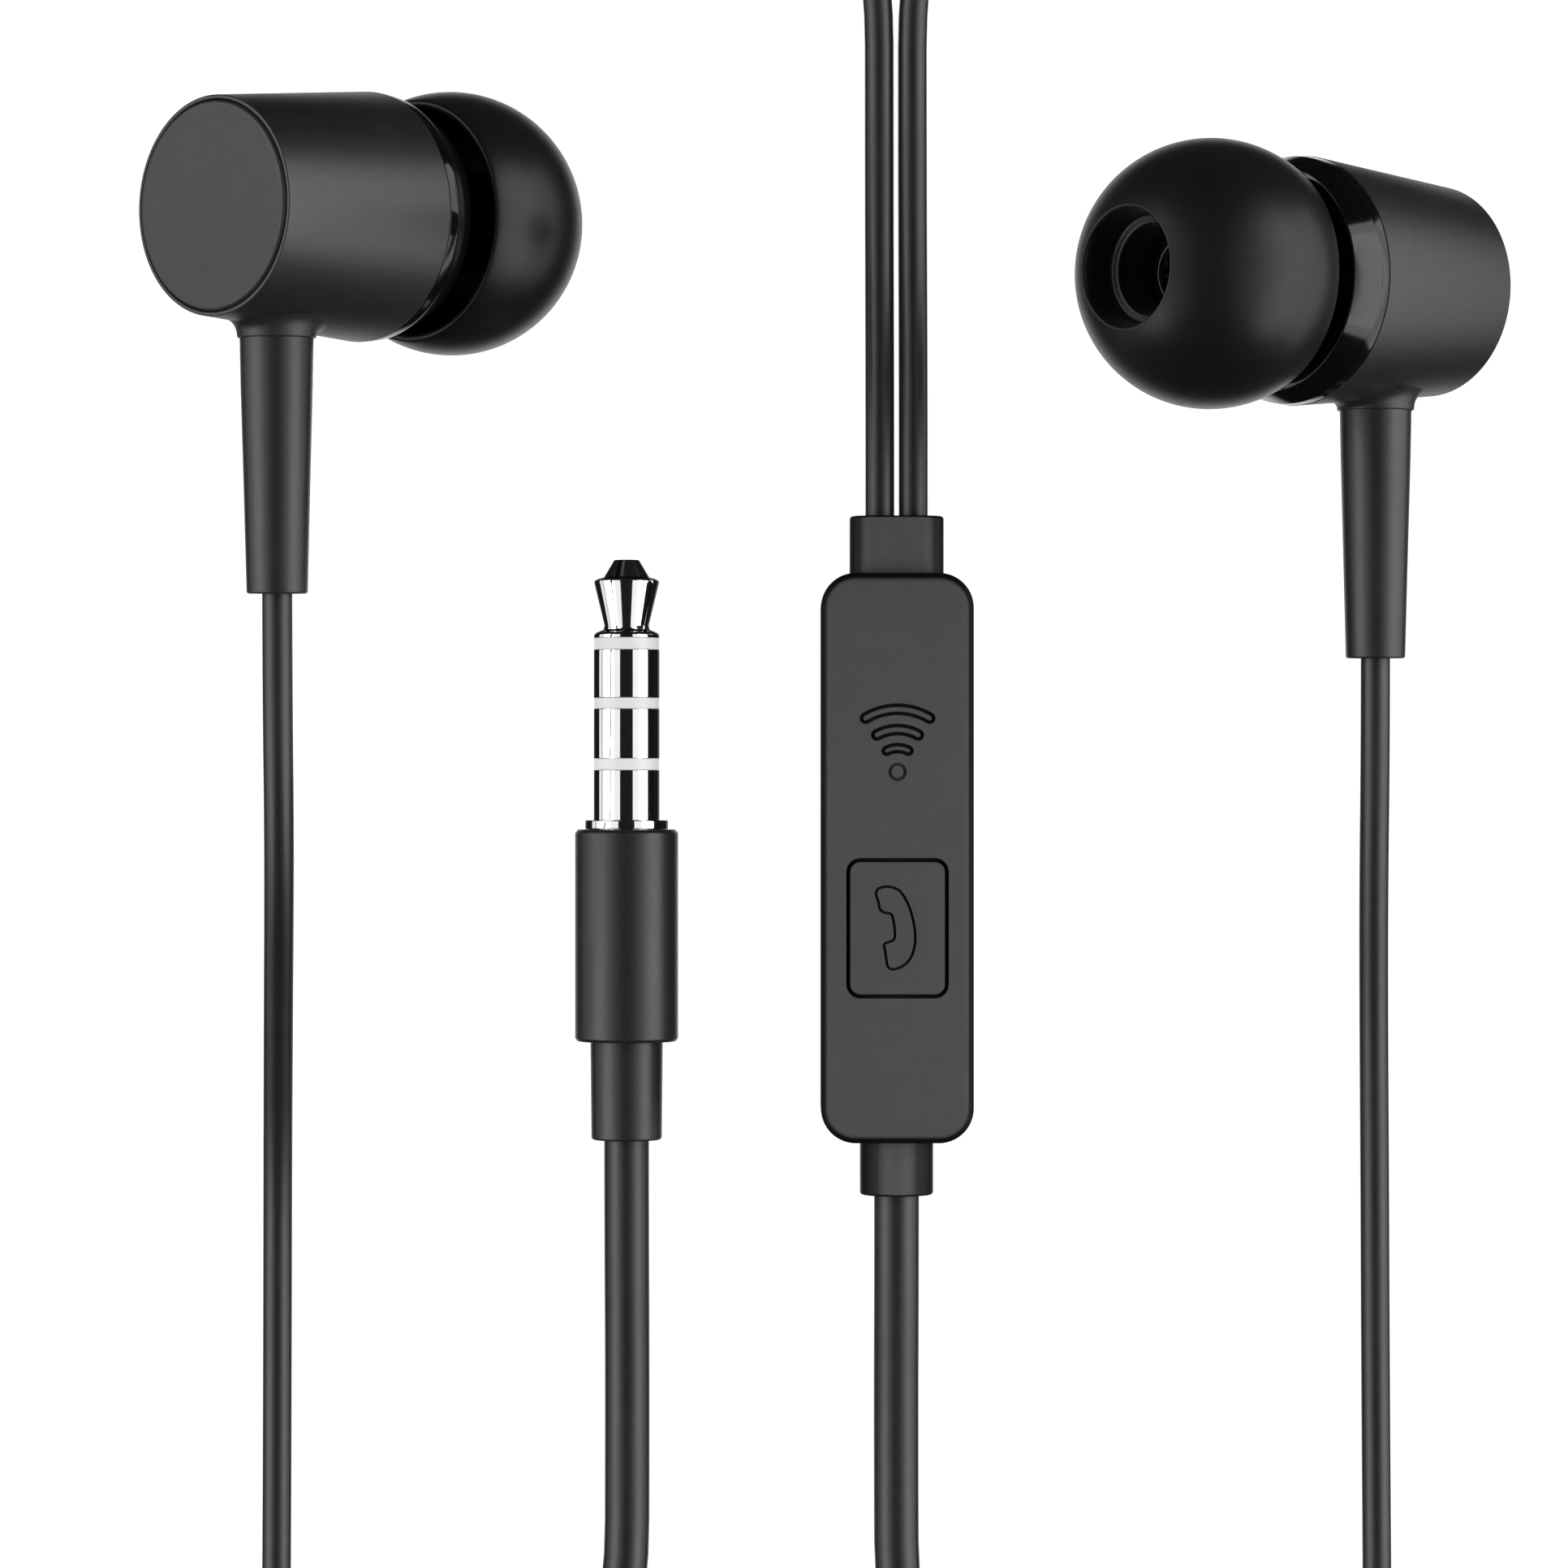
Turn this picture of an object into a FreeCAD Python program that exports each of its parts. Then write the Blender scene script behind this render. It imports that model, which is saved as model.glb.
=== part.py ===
import FreeCAD, Part
import os, re, math
import Sketcher
from FreeCAD import Vector, Placement, Rotation

# Wired in-ear earphones laid out flat: two ear buds, a control box at the cable split and a
# four-pole 3.5 mm plug. Millimetres. The frame's origin is the centre of the control box's flat
# back, on the surface that everything lies on: +Z up, +Y towards the ear buds, +X to the right.

os.makedirs("parts", exist_ok=True)
doc = FreeCAD.newDocument("Earphones")
sheet = doc.addObject("Spreadsheet::Sheet", "Dimensions")

DIMS = [
    # ear bud, distances along the bud's axis measured from the rear plane
    ("housing_len", 10.45), ("housing_rear_rad", 5.56), ("housing_front_rad", 6.46),
    ("housing_mouth_rad", 5.62), ("housing_cavity_rad", 4.75), ("housing_floor", 1.2),
    ("housing_floor_hole_rad", 4.45), ("cap_seat_rad", 5.2), ("cap_seat_depth", 0.8),
    ("cap_rad", 5.16), ("cap_proud", 0.12), ("cap_chamfer_rad", 4.98),
    ("cover_back", 8.6), ("cover_spigot_rad", 5.55), ("cover_spigot_bore", 5.06),
    ("cover_step", 10.1), ("cover_step_rad", 4.4), ("cover_inner_face", 11.5),
    ("cover_rear_rad", 6.42), ("cover_front", 12.5), ("cover_front_rad", 5.82),
    ("nozzle_root", 13.1), ("nozzle_root_rad", 2.5), ("nozzle_rad", 2.0), ("nozzle_bore", 1.55),
    ("barb_back", 17.2), ("barb_rad", 2.22), ("barb_front", 18.5), ("nozzle_tip", 19.1),
    ("mesh_back", 18.1), ("mesh_front", 18.25), ("mesh_rad", 1.53),
    ("tip_ball_rad", 6.9), ("tip_centre", 16.97), ("tip_wall", 0.55),
    ("tip_rim", 13.99), ("tip_mouth", 23.11), ("tip_stem_back", 13.25), ("tip_stem_rad", 3.15),
    ("tip_bore_rad", 2.27), ("tip_mouth_rad", 2.97), ("tip_ledge", 21.3), ("tip_ledge_rad", 2.78),
    # driver
    ("pot_back", 5.6), ("pot_rad", 3.6), ("pot_bore", 3.15), ("pot_floor", 6.2),
    ("basket_back", 8.2), ("basket_rad", 5.0), ("basket_shelf", 8.6), ("basket_lip_rad", 4.62),
    ("basket_front", 9.2), ("magnet_rad", 2.45), ("magnet_front", 7.6),
    ("plate_rad", 2.5), ("plate_front", 8.2), ("coil_in", 2.65), ("coil_out", 2.9),
    ("coil_back", 7.0), ("film_back", 8.85), ("film_front", 8.93), ("film_rad", 4.5),
    ("dome_rad", 2.75), ("dome_top", 9.25),
    ("guard_rim_back", 9.2), ("guard_plate_back", 9.6), ("guard_front", 9.8), ("guard_rad", 4.98),
    ("guard_inner_rad", 4.66), ("guard_hole_rad", 0.55), ("guard_hole_circle", 2.6),
    ("gasket_rad", 4.98), ("gasket_bore", 4.45),
    ("board_rad", 2.3), ("board_back", 5.2),
    # strain relief, distances from the bud's axis
    ("relief_axis", 4.37), ("relief_flange_in", 4.05), ("relief_flange_out", 4.62),
    ("relief_flange_rad", 1.7), ("relief_neck_rad", 1.3), ("relief_seat", 5.42),
    ("relief_root_rad", 1.9), ("relief_end", 19.5), ("relief_end_rad", 1.56),
    ("relief_seat_rad", 1.94), ("relief_hole_rad", 1.34),
    ("ferrule_in", 2.7), ("ferrule_rad", 0.9),
    # control box
    ("box_wide", 8.1), ("box_long", 30.2), ("box_thick", 5.5), ("box_corner", 1.85),
    ("box_split", 2.7), ("box_wall", 0.8), ("box_face", 0.95), ("box_edge", 0.55),
    ("key_open_wide", 5.42), ("key_open_long", 7.43), ("key_open_corner", 0.75),
    ("key_wide", 5.06), ("key_long", 7.07), ("key_corner", 0.57), ("key_back", 4.15),
    ("key_flange_wide", 5.9), ("key_flange_long", 7.9), ("key_flange_front", 4.47),
    ("key_centre", -3.7), ("port_centre", 4.66), ("port_rad", 0.3), ("back_port_rad", 0.4),
    ("board_wide", 6.1), ("board_long", 26.4), ("board_low", 1.7), ("board_high", 2.3),
    ("switch_wide", 3.6), ("switch_high", 3.5), ("switch_well", 2.6), ("switch_well_rad", 0.85),
    ("plunger_rad", 0.75), ("plunger_low", 3.1),
    ("mic_rad", 2.0), ("mic_high", 3.8),
    ("collar_wide", 5.0), ("collar_thick", 3.4), ("collar_len", 3.07), ("collar_round", 1.5),
    ("lower_collar_rad", 1.95), ("lower_collar_len", 2.86), ("collar_tail", 1.6),
    ("box_mid", 2.75),
    # plug, distances from the pin's nose
    ("pin_rad", 1.75), ("nose_rad", 0.68), ("nose_cone", 0.92), ("nose_cone_rad", 1.20),
    ("head_wide", 1.12), ("head_waist", 3.58), ("waist_rad", 1.18), ("lip_back", 3.82),
    ("tip_back", 4.16), ("band_a", 4.78), ("band_a_end", 7.35), ("band_b", 7.93),
    ("band_b_end", 10.58), ("sleeve_front", 11.19), ("flange_front", 13.87),
    ("flange_back", 14.35), ("flange_rad", 2.2), ("contact_tail", 17.0), ("hub_rad", 2.05),
    ("rod_rad", 0.42), ("tube_a_in", 0.45), ("tube_a_out", 0.72), ("tube_b_in", 0.75),
    ("tube_b_out", 0.95), ("tube_c_in", 0.98), ("tube_c_out", 1.14), ("tube_d_in", 1.17),
    ("tube_d_out", 1.3), ("tube_e_in", 1.33), ("tube_e_out", 1.46), ("sleeve_in", 1.49),
    ("barrel_rad", 2.75), ("barrel_back", 25.65), ("boot_rad", 1.93), ("boot_end_rad", 1.88),
    ("boot_back", 30.9), ("barrel_edge", 0.25),
    # cables
    ("bud_cable_dia", 1.55), ("main_cable_dia", 2.4), ("pair_half_gap", 0.89),
    ("coil_turn_rad", 13.4), ("coil_x", -7.2), ("coil_y", -62.0), ("coil_wide", 12.0),
    ("coil_thick", 4.8),
]
for row, (alias, value) in enumerate(DIMS, 1):
    sheet.set("A%d" % row, alias)
    sheet.set("B%d" % row, repr(float(value)))
    sheet.setAlias("B%d" % row, alias)
doc.recompute()
D = dict(DIMS)
made = []


def ref(term):
    """A sum of aliases and numbers as an expression on the sheet."""
    return re.sub(r"[A-Za-z_]\w*", lambda m: "Dimensions." + m.group(0), term)


def val(term):
    """The same sum's value."""
    total = 0.0
    for sign, body in re.findall(r"([+-]?)\s*([\w.*/]+)", term):
        product, op = 1.0, "*"
        for piece in re.split(r"([*/])", body):
            if piece in "*/":
                op = piece
                continue
            number = D[piece] if piece in D else float(piece)
            product = product * number if op == "*" else product / number
        total += -product if sign == "-" else product
    return total


def bind(obj, **terms):
    for prop, term in terms.items():
        obj.setExpression(prop, ref(term))
    return obj


def plane(body, role):
    return next(f for f in body.Origin.OriginFeatures if f.Role == role)


def constrain(sk, index, kind, geo, pos, term):
    """A vertex's distance from the sketch's origin along one axis, bound to the sheet."""
    if abs(val(term)) < 1e-9:
        sk.addConstraint(Sketcher.Constraint("PointOnObject", geo, pos, -2 if kind == "DistanceX" else -1))
    else:
        number = sk.addConstraint(Sketcher.Constraint(kind, -1, 1, geo, pos, val(term)))
        sk.setExpression("Constraints[%d]" % number, ref(term))


def lathe(body, name, profile, cut=False):
    """A revolution about the body's Z axis of a closed outline of (along the axis, radius)."""
    sk = body.newObject("Sketcher::SketchObject", name + "_outline")
    sk.AttachmentSupport = (plane(body, "XZ_Plane"), [""])
    sk.MapMode = "FlatFace"
    pts = [Vector(val(r), val(z), 0) for z, r in profile]
    n = len(pts)
    for i in range(n):
        sk.addGeometry(Part.LineSegment(pts[i], pts[(i + 1) % n]), False)
    for i in range(n):
        sk.addConstraint(Sketcher.Constraint("Coincident", i, 2, (i + 1) % n, 1))
    for i, (z, r) in enumerate(profile):
        constrain(sk, i, "DistanceX", i, 1, r)
        constrain(sk, i, "DistanceY", i, 1, z)
    rev = body.newObject("PartDesign::Groove" if cut else "PartDesign::Revolution", name)
    rev.Profile = sk
    rev.ReferenceAxis = (sk, ["V_Axis"])
    rev.Angle = 360.0
    body.Tip = rev
    return rev


def turned(label, profile):
    """A turned piece as a body of its own."""
    body = doc.addObject("PartDesign::Body", label)
    body.Label = label
    lathe(body, "turn_" + label, profile)
    return body


def rounded_sketch(body, name, wide, long, corner, height, centre="0"):
    """A rounded rectangle in XY at a height, all sizes bound."""
    sk = body.newObject("Sketcher::SketchObject", name)
    sk.AttachmentSupport = (plane(body, "XY_Plane"), [""])
    sk.MapMode = "FlatFace"
    sk.setExpression("AttachmentOffset.Base.z", ref(height))
    w, l, c, m = val(wide) / 2, val(long) / 2, val(corner), val(centre)
    corners = [(w, l), (-w, l), (-w, -l), (w, -l)]
    V = lambda x, y: Vector(x, y + m, 0)
    sk.addGeometry([
        Part.LineSegment(V(w - c, l), V(-w + c, l)), Part.LineSegment(V(-w, l - c), V(-w, -l + c)),
        Part.LineSegment(V(-w + c, -l), V(w - c, -l)), Part.LineSegment(V(w, -l + c), V(w, l - c)),
        Part.ArcOfCircle(Part.Circle(V(-w + c, l - c), Vector(0, 0, 1), c), math.pi / 2, math.pi),
        Part.ArcOfCircle(Part.Circle(V(-w + c, -l + c), Vector(0, 0, 1), c), math.pi, 1.5 * math.pi),
        Part.ArcOfCircle(Part.Circle(V(w - c, -l + c), Vector(0, 0, 1), c), 1.5 * math.pi, 2 * math.pi),
        Part.ArcOfCircle(Part.Circle(V(w - c, l - c), Vector(0, 0, 1), c), 0, math.pi / 2)], False)
    C = Sketcher.Constraint
    sk.addConstraint([
        C("Tangent", 0, 2, 4, 1), C("Tangent", 4, 2, 1, 1), C("Tangent", 1, 2, 5, 1),
        C("Tangent", 5, 2, 2, 1), C("Tangent", 2, 2, 6, 1), C("Tangent", 6, 2, 3, 1),
        C("Tangent", 3, 2, 7, 1), C("Tangent", 7, 2, 0, 1),
        C("Horizontal", 0), C("Horizontal", 2), C("Vertical", 1), C("Vertical", 3),
        C("Equal", 4, 5), C("Equal", 5, 6), C("Equal", 6, 7)])
    for kind, g, p, q, term, size in (("Radius", 4, None, None, corner, c),
                                      ("DistanceX", 1, 1, 3, wide, 2 * w), ("DistanceY", 2, 1, 0, long, 2 * l)):
        if kind == "Radius":
            k = sk.addConstraint(C(kind, g, size))
        else:
            k = sk.addConstraint(C(kind, g, p, q, 2 if kind == "DistanceX" else 1, size))
        sk.setExpression("Constraints[%d]" % k, ref(term))
    k = sk.addConstraint(C("DistanceX", -1, 1, 3, 1, w))
    sk.setExpression("Constraints[%d]" % k, "(" + ref(wide) + ") / 2")
    k = sk.addConstraint(C("DistanceY", -1, 1, 0, 1, l + m))
    sk.setExpression("Constraints[%d]" % k, "(" + ref(long) + ") / 2 + " + ref(centre))
    return sk


def pad(body, name, sketch, length, cut=False, reverse=False):
    f = body.newObject("PartDesign::Pocket" if cut else "PartDesign::Pad", name)
    f.Profile = sketch
    f.setExpression("Length", ref(length))
    f.Reversed = reverse
    body.Tip = f
    return f


def cylinder(name, radius, height, base=(0, 0, 0), axis=(0, 0, 1)):
    c = doc.addObject("Part::Cylinder", name)
    bind(c, Radius=radius, Height=height)
    c.Placement = Placement(Vector(*base), Rotation(Vector(0, 0, 1), Vector(*axis)))
    return c


def boolean(kind, label, base, tool):
    f = doc.addObject("Part::" + kind, label)
    f.Base, f.Tool = base, tool
    f.Label = label
    return f


def keep(obj, placement=None, label=None):
    if placement is not None:
        obj.Placement = placement
    made.append(obj)
    return obj


# The bud's own frame: +Z along the axis towards the ear tip, rear plane at zero, cable towards -Y.
# Where each bud lies: the rear plane's centre, the direction of the ear tip and of the cable.
BUDS = {
    "left": ((-34.72, 33.02, 19.63), (0.6610, 0.0200, -0.7500), (0.0, -0.99964, -0.02666)),
    "right": ((28.334, 30.043, 4.13), (-0.7423, -0.0052, 0.6700), (0.0, -0.99997, -0.00776)),
}


def bud_placement(side):
    origin, a, r = BUDS[side]
    z = Vector(*a).normalize()
    y = Vector(*r).negative()
    y = (y - z * y.dot(z)).normalize()
    x = y.cross(z)
    m = FreeCAD.Matrix(x.x, y.x, z.x, origin[0], x.y, y.y, z.y, origin[1], x.z, y.z, z.z, origin[2], 0, 0, 0, 1)
    return Placement(m)


def relief_cut(side, name, radius, inner, outer):
    c = cylinder("%s_%s" % (side, name), radius, outer + " - " + inner)
    c.Placement = Placement(Vector(0, -val(inner), val("relief_axis")), Rotation(Vector(0, 0, 1), Vector(0, -1, 0)))
    return c


for side in ("left", "right"):
    P = bud_placement(side)

    # Matte rear housing: a tapering cup with a seat for the rear cap and a seat for the relief.
    shell = turned(side + "_housing_shell", [
        ("0", "cap_seat_rad"), ("0", "housing_rear_rad"), ("housing_len", "housing_front_rad"),
        ("housing_len", "housing_mouth_rad"), ("basket_back", "housing_mouth_rad"),
        ("housing_floor", "housing_cavity_rad"), ("housing_floor", "housing_floor_hole_rad"),
        ("cap_seat_depth", "housing_floor_hole_rad"), ("cap_seat_depth", "cap_seat_rad")])
    seat = relief_cut(side, "relief_seat_cut", "relief_seat_rad", "relief_seat", "relief_seat + 3")
    hole = relief_cut(side, "relief_hole_cut", "relief_hole_rad", "relief_flange_in", "relief_seat + 3")
    a = boolean("Cut", side + "_housing_seated", shell, seat)
    keep(boolean("Cut", side + "_housing", a, hole), P)

    keep(turned(side + "_rear_cap", [
        ("0 - cap_proud", "0"), ("0 - cap_proud", "cap_chamfer_rad"), ("0.05", "cap_rad"),
        ("cap_seat_depth", "cap_rad"), ("cap_seat_depth", "4.4"), ("1.15", "4.4"), ("1.15", "3.9"),
        ("cap_seat_depth", "3.9"), ("cap_seat_depth", "0")]), P)

    # Gloss front cover with the nozzle and its barb.
    keep(turned(side + "_front_cover", [
        ("cover_back", "cover_spigot_bore"), ("cover_back", "cover_spigot_rad"),
        ("housing_len", "cover_spigot_rad"), ("housing_len", "cover_rear_rad"),
        ("cover_front", "cover_front_rad"), ("nozzle_root", "nozzle_root_rad"),
        ("nozzle_root", "nozzle_rad"), ("barb_back", "nozzle_rad"), ("barb_back", "barb_rad"),
        ("barb_front", "barb_rad"), ("nozzle_tip", "nozzle_rad"), ("nozzle_tip", "nozzle_bore"),
        ("cover_inner_face", "nozzle_bore"), ("cover_inner_face", "cover_step_rad"),
        ("cover_step", "cover_step_rad"), ("cover_step", "cover_spigot_bore")]), P)

    # Woven screen in the nozzle, a disc with a ring of holes.
    disc = turned(side + "_screen_disc", [("mesh_back", "0"), ("mesh_back", "mesh_rad"),
                                          ("mesh_front", "mesh_rad"), ("mesh_front", "0")])
    holes = [cylinder("%s_screen_hole_%d" % (side, k), "0.14", "1",
                      (rr * math.cos(t), rr * math.sin(t), 17.7))
             for rr, n in ((0.0, 1), (0.5, 6), (1.0, 12)) for t in [2 * math.pi * i / n for i in range(n)]
             for k in [int(rr * 100) + int(round(t * 100))]]
    cutter = doc.addObject("Part::MultiFuse", side + "_screen_holes")
    cutter.Shapes = holes
    keep(boolean("Cut", side + "_nozzle_screen", disc, cutter), P)

    # Silicone ear tip: a part-spherical skirt folded back over a stem.
    outer = doc.addObject("Part::Sphere", side + "_tip_ball")
    bind(outer, Radius="tip_ball_rad")
    outer.setExpression("Placement.Base.z", ref("tip_centre"))
    inner = doc.addObject("Part::Sphere", side + "_tip_hollow")
    bind(inner, Radius="tip_ball_rad - tip_wall")
    inner.setExpression("Placement.Base.z", ref("tip_centre"))
    slab = doc.addObject("Part::Cylinder", side + "_tip_span")
    bind(slab, Radius="tip_ball_rad + 1", Height="tip_mouth - tip_rim")
    slab.setExpression("Placement.Base.z", ref("tip_rim"))
    skin = boolean("Cut", side + "_tip_skin", outer, inner)
    dome = boolean("Common", side + "_tip_dome", skin, slab)
    # The stem ends inside the dome's wall, so the stem and the skirt are one piece.
    stem = turned(side + "_tip_stem", [
        ("tip_stem_back", "tip_bore_rad"), ("tip_stem_back", "tip_stem_rad"),
        ("tip_mouth - 0.3", "tip_stem_rad"), ("tip_mouth", "3.1"), ("tip_mouth", "tip_mouth_rad"),
        ("tip_ledge", "tip_ledge_rad"), ("tip_ledge", "tip_bore_rad")])
    joined = boolean("Fuse", side + "_tip_joined", dome, stem)
    bore = turned(side + "_tip_bore", [
        ("tip_stem_back - 1", "0"), ("tip_stem_back - 1", "tip_bore_rad"), ("tip_ledge", "tip_bore_rad"),
        ("tip_ledge", "tip_ledge_rad"), ("tip_mouth", "tip_mouth_rad"), ("tip_mouth + 1", "tip_mouth_rad + 0.15"), ("tip_mouth + 1", "0")])
    keep(boolean("Cut", side + "_ear_tip", joined, bore), P)

    # Moulded strain relief, turned about its own axis and laid across the bud's.
    relief = turned(side + "_strain_relief", [
        ("relief_flange_in", "0"), ("relief_flange_in", "relief_flange_rad"),
        ("relief_flange_out", "relief_flange_rad"), ("relief_flange_out", "relief_neck_rad"),
        ("relief_seat", "relief_neck_rad"), ("relief_seat", "relief_root_rad"),
        ("relief_end", "relief_end_rad"), ("relief_end", "0")])
    across = Placement(Vector(0, 0, val("relief_axis")), Rotation(Vector(0, 0, 1), Vector(0, -1, 0)))
    keep(relief, P.multiply(across))
    keep(turned(side + "_cable_ferrule", [
        ("ferrule_in", "0"), ("ferrule_in", "ferrule_rad"), ("relief_flange_in", "ferrule_rad"),
        ("relief_flange_in", "0")]), P.multiply(across))

    # Moving-coil driver.
    keep(turned(side + "_driver_basket", [
        ("pot_back", "0"), ("pot_back", "pot_rad"), ("basket_back", "pot_rad"),
        ("basket_back", "basket_rad"), ("basket_front", "basket_rad"),
        ("basket_front", "basket_lip_rad"), ("basket_shelf", "basket_lip_rad"),
        ("basket_shelf", "pot_bore"), ("pot_floor", "pot_bore"), ("pot_floor", "0")]), P)
    keep(turned(side + "_driver_magnet", [
        ("pot_floor", "0"), ("pot_floor", "magnet_rad"), ("magnet_front", "magnet_rad"),
        ("magnet_front", "0")]), P)
    keep(turned(side + "_driver_top_plate", [
        ("magnet_front", "0"), ("magnet_front", "plate_rad"), ("plate_front", "plate_rad"),
        ("plate_front", "0")]), P)
    keep(turned(side + "_voice_coil", [
        ("coil_back", "coil_in"), ("coil_back", "coil_out"), ("film_back", "coil_out"),
        ("film_back", "coil_in")]), P)
    keep(turned(side + "_diaphragm", [
        ("film_back", "dome_rad"), ("film_back", "film_rad"), ("film_front", "film_rad"),
        ("film_front", "dome_rad + 0.1"), ("dome_top", "1.2"), ("dome_top", "0"),
        ("dome_top - 0.08", "0"), ("dome_top - 0.08", "1.15")]), P)
    guard = turned(side + "_guard_plate", [
        ("guard_rim_back", "guard_inner_rad"), ("guard_rim_back", "guard_rad"),
        ("guard_front", "guard_rad"), ("guard_front", "0"), ("guard_plate_back", "0"),
        ("guard_plate_back", "guard_inner_rad")])
    ports = [cylinder("%s_guard_port_%d" % (side, k), "guard_hole_rad", "1",
                      (val("guard_hole_circle") * math.cos(math.pi * k / 3),
                       val("guard_hole_circle") * math.sin(math.pi * k / 3), 9.2)) for k in range(6)]
    ports.append(cylinder(side + "_guard_port_mid", "guard_hole_rad", "1", (0, 0, 9.3)))
    cutter = doc.addObject("Part::MultiFuse", side + "_guard_ports")
    cutter.Shapes = ports
    keep(boolean("Cut", side + "_driver_guard", guard, cutter), P)
    keep(turned(side + "_driver_gasket", [
        ("guard_front", "gasket_bore"), ("guard_front", "gasket_rad"), ("cover_step", "gasket_rad"),
        ("cover_step", "gasket_bore")]), P)
    keep(turned(side + "_terminal_board", [
        ("board_back", "0"), ("board_back", "board_rad"), ("pot_back", "board_rad"),
        ("pot_back", "0")]), P)

# Control box: a flat back shell and a front shell, split at mid thickness, corners rounded.
back = doc.addObject("PartDesign::Body", "control_rear_cover")
pad(back, "back_block", rounded_sketch(back, "back_outline", "box_wide", "box_long", "box_corner", "0"), "box_split")
doc.recompute()
edges = ["Edge%d" % (i + 1) for i, e in enumerate(back.Shape.Edges)
         if abs(e.BoundBox.ZMin) < 1e-6 and abs(e.BoundBox.ZMax) < 1e-6]
block = back.Tip
fil = back.newObject("PartDesign::Fillet", "back_edge")
fil.Base = (block, edges)
fil.setExpression("Radius", ref("box_edge + 0.25"))
back.Tip = fil
pad(back, "back_hollow", rounded_sketch(back, "back_hollow_outline", "box_wide - 2*box_wall", "box_long - 2*box_wall",
    "box_corner - box_wall", "box_split"), "box_split - 0.9", cut=True)
doc.recompute()
posts = []
for k, (x, y) in enumerate(((2.3, 11.5), (-2.3, 11.5), (2.3, -11.5), (-2.3, -11.5))):
    posts.append(cylinder("board_post_%d" % k, "0.6", "board_low - 0.9", (x, y, 0.9)))
group = doc.addObject("Part::MultiFuse", "board_posts")
group.Shapes = posts
rear = boolean("Fuse", "control_rear_shell", back, group)


def collar_slot(name, wide_term, thick_term, where):
    """The opening in an end wall that a collar's tail passes through."""
    b = doc.addObject("Part::Box", name)
    bind(b, Length=wide_term, Height=thick_term, Width="2")
    b.Placement = Placement(Vector(-val(wide_term) / 2, where, val("box_mid") - val(thick_term) / 2), Rotation())
    return b


TAIL = "2.4"
slots = doc.addObject("Part::MultiFuse", "end_slots")
slots.Shapes = [collar_slot("slot_up", "3.6", TAIL, 14.0), collar_slot("slot_down", "2.6", TAIL, -16.0)]
back.Label = "control_rear_blank"
rear = boolean("Cut", "control_rear_slotted", rear, slots)
# The microphone listens through a small hole in the back, under its own port in the board.
port = cylinder("back_port", "back_port_rad", "1.5", (0, val("port_centre"), -0.3))
rear = boolean("Cut", "control_rear_cover_shell", rear, port)
rear.Label = "control_rear_cover"
keep(rear)

front = doc.addObject("PartDesign::Body", "control_front_blank")
pad(front, "front_block", rounded_sketch(front, "front_outline", "box_wide", "box_long", "box_corner", "box_split"),
    "box_thick - box_split")
doc.recompute()
edges = ["Edge%d" % (i + 1) for i, e in enumerate(front.Shape.Edges)
         if abs(e.BoundBox.ZMin - val("box_thick")) < 1e-6 and abs(e.BoundBox.ZMax - val("box_thick")) < 1e-6]
block = front.Tip
fil = front.newObject("PartDesign::Fillet", "front_edge")
fil.Base = (block, edges)
fil.setExpression("Radius", ref("box_edge"))
front.Tip = fil
pad(front, "front_hollow", rounded_sketch(front, "front_hollow_outline", "box_wide - 2*box_wall",
    "box_long - 2*box_wall", "box_corner - box_wall", "box_split"), "box_thick - box_split - box_face",
    cut=True, reverse=True)
pad(front, "key_opening", rounded_sketch(front, "key_opening_outline", "key_open_wide", "key_open_long",
    "key_open_corner", "box_thick", "key_centre"), "1.5", cut=True)
doc.recompute()
slots2 = doc.addObject("Part::MultiFuse", "end_slots_front")
slots2.Shapes = [collar_slot("slot_up_front", "3.6", TAIL, 14.0), collar_slot("slot_down_front", "2.6", TAIL, -16.0)]
keep(boolean("Cut", "control_front_cover", front, slots2))

# Call button: a flush key with a retaining flange behind the face.
key = doc.addObject("PartDesign::Body", "call_button")
pad(key, "key_flange", rounded_sketch(key, "key_flange_outline", "key_flange_wide", "key_flange_long",
    "key_corner + 0.3", "key_back", "key_centre"), "key_flange_front - key_back")
pad(key, "key_face", rounded_sketch(key, "key_face_outline", "key_wide", "key_long", "key_corner",
    "key_flange_front - 0.1", "key_centre"), "box_thick - key_flange_front + 0.1")
keep(key)

base = doc.addObject("Part::Box", "switch_block")
bind(base, Length="switch_wide", Width="switch_wide", Height="switch_high - board_high")
base.Placement = Placement(Vector(-1.8, val("key_centre") - 1.8, val("board_high")), Rotation())
well = cylinder("switch_well", "switch_well_rad", "2", (0, val("key_centre"), val("switch_well")))
keep(boolean("Cut", "switch_base", base, well))
plunger = cylinder("switch_plunger", "plunger_rad", "key_back - plunger_low",
                   (0, val("key_centre"), val("plunger_low")))
keep(plunger)
board = doc.addObject("Part::Box", "board_blank")
bind(board, Length="board_wide", Width="board_long", Height="board_high - board_low")
board.Placement = Placement(Vector(-val("board_wide") / 2, -val("board_long") / 2, val("board_low")), Rotation())
hole = cylinder("board_port", "port_rad", "1.6", (0, val("port_centre"), 1.2))
keep(boolean("Cut", "control_circuit_board", board, hole))
keep(cylinder("microphone", "mic_rad", "mic_high - board_high", (0, val("port_centre"), val("board_high"))))

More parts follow.
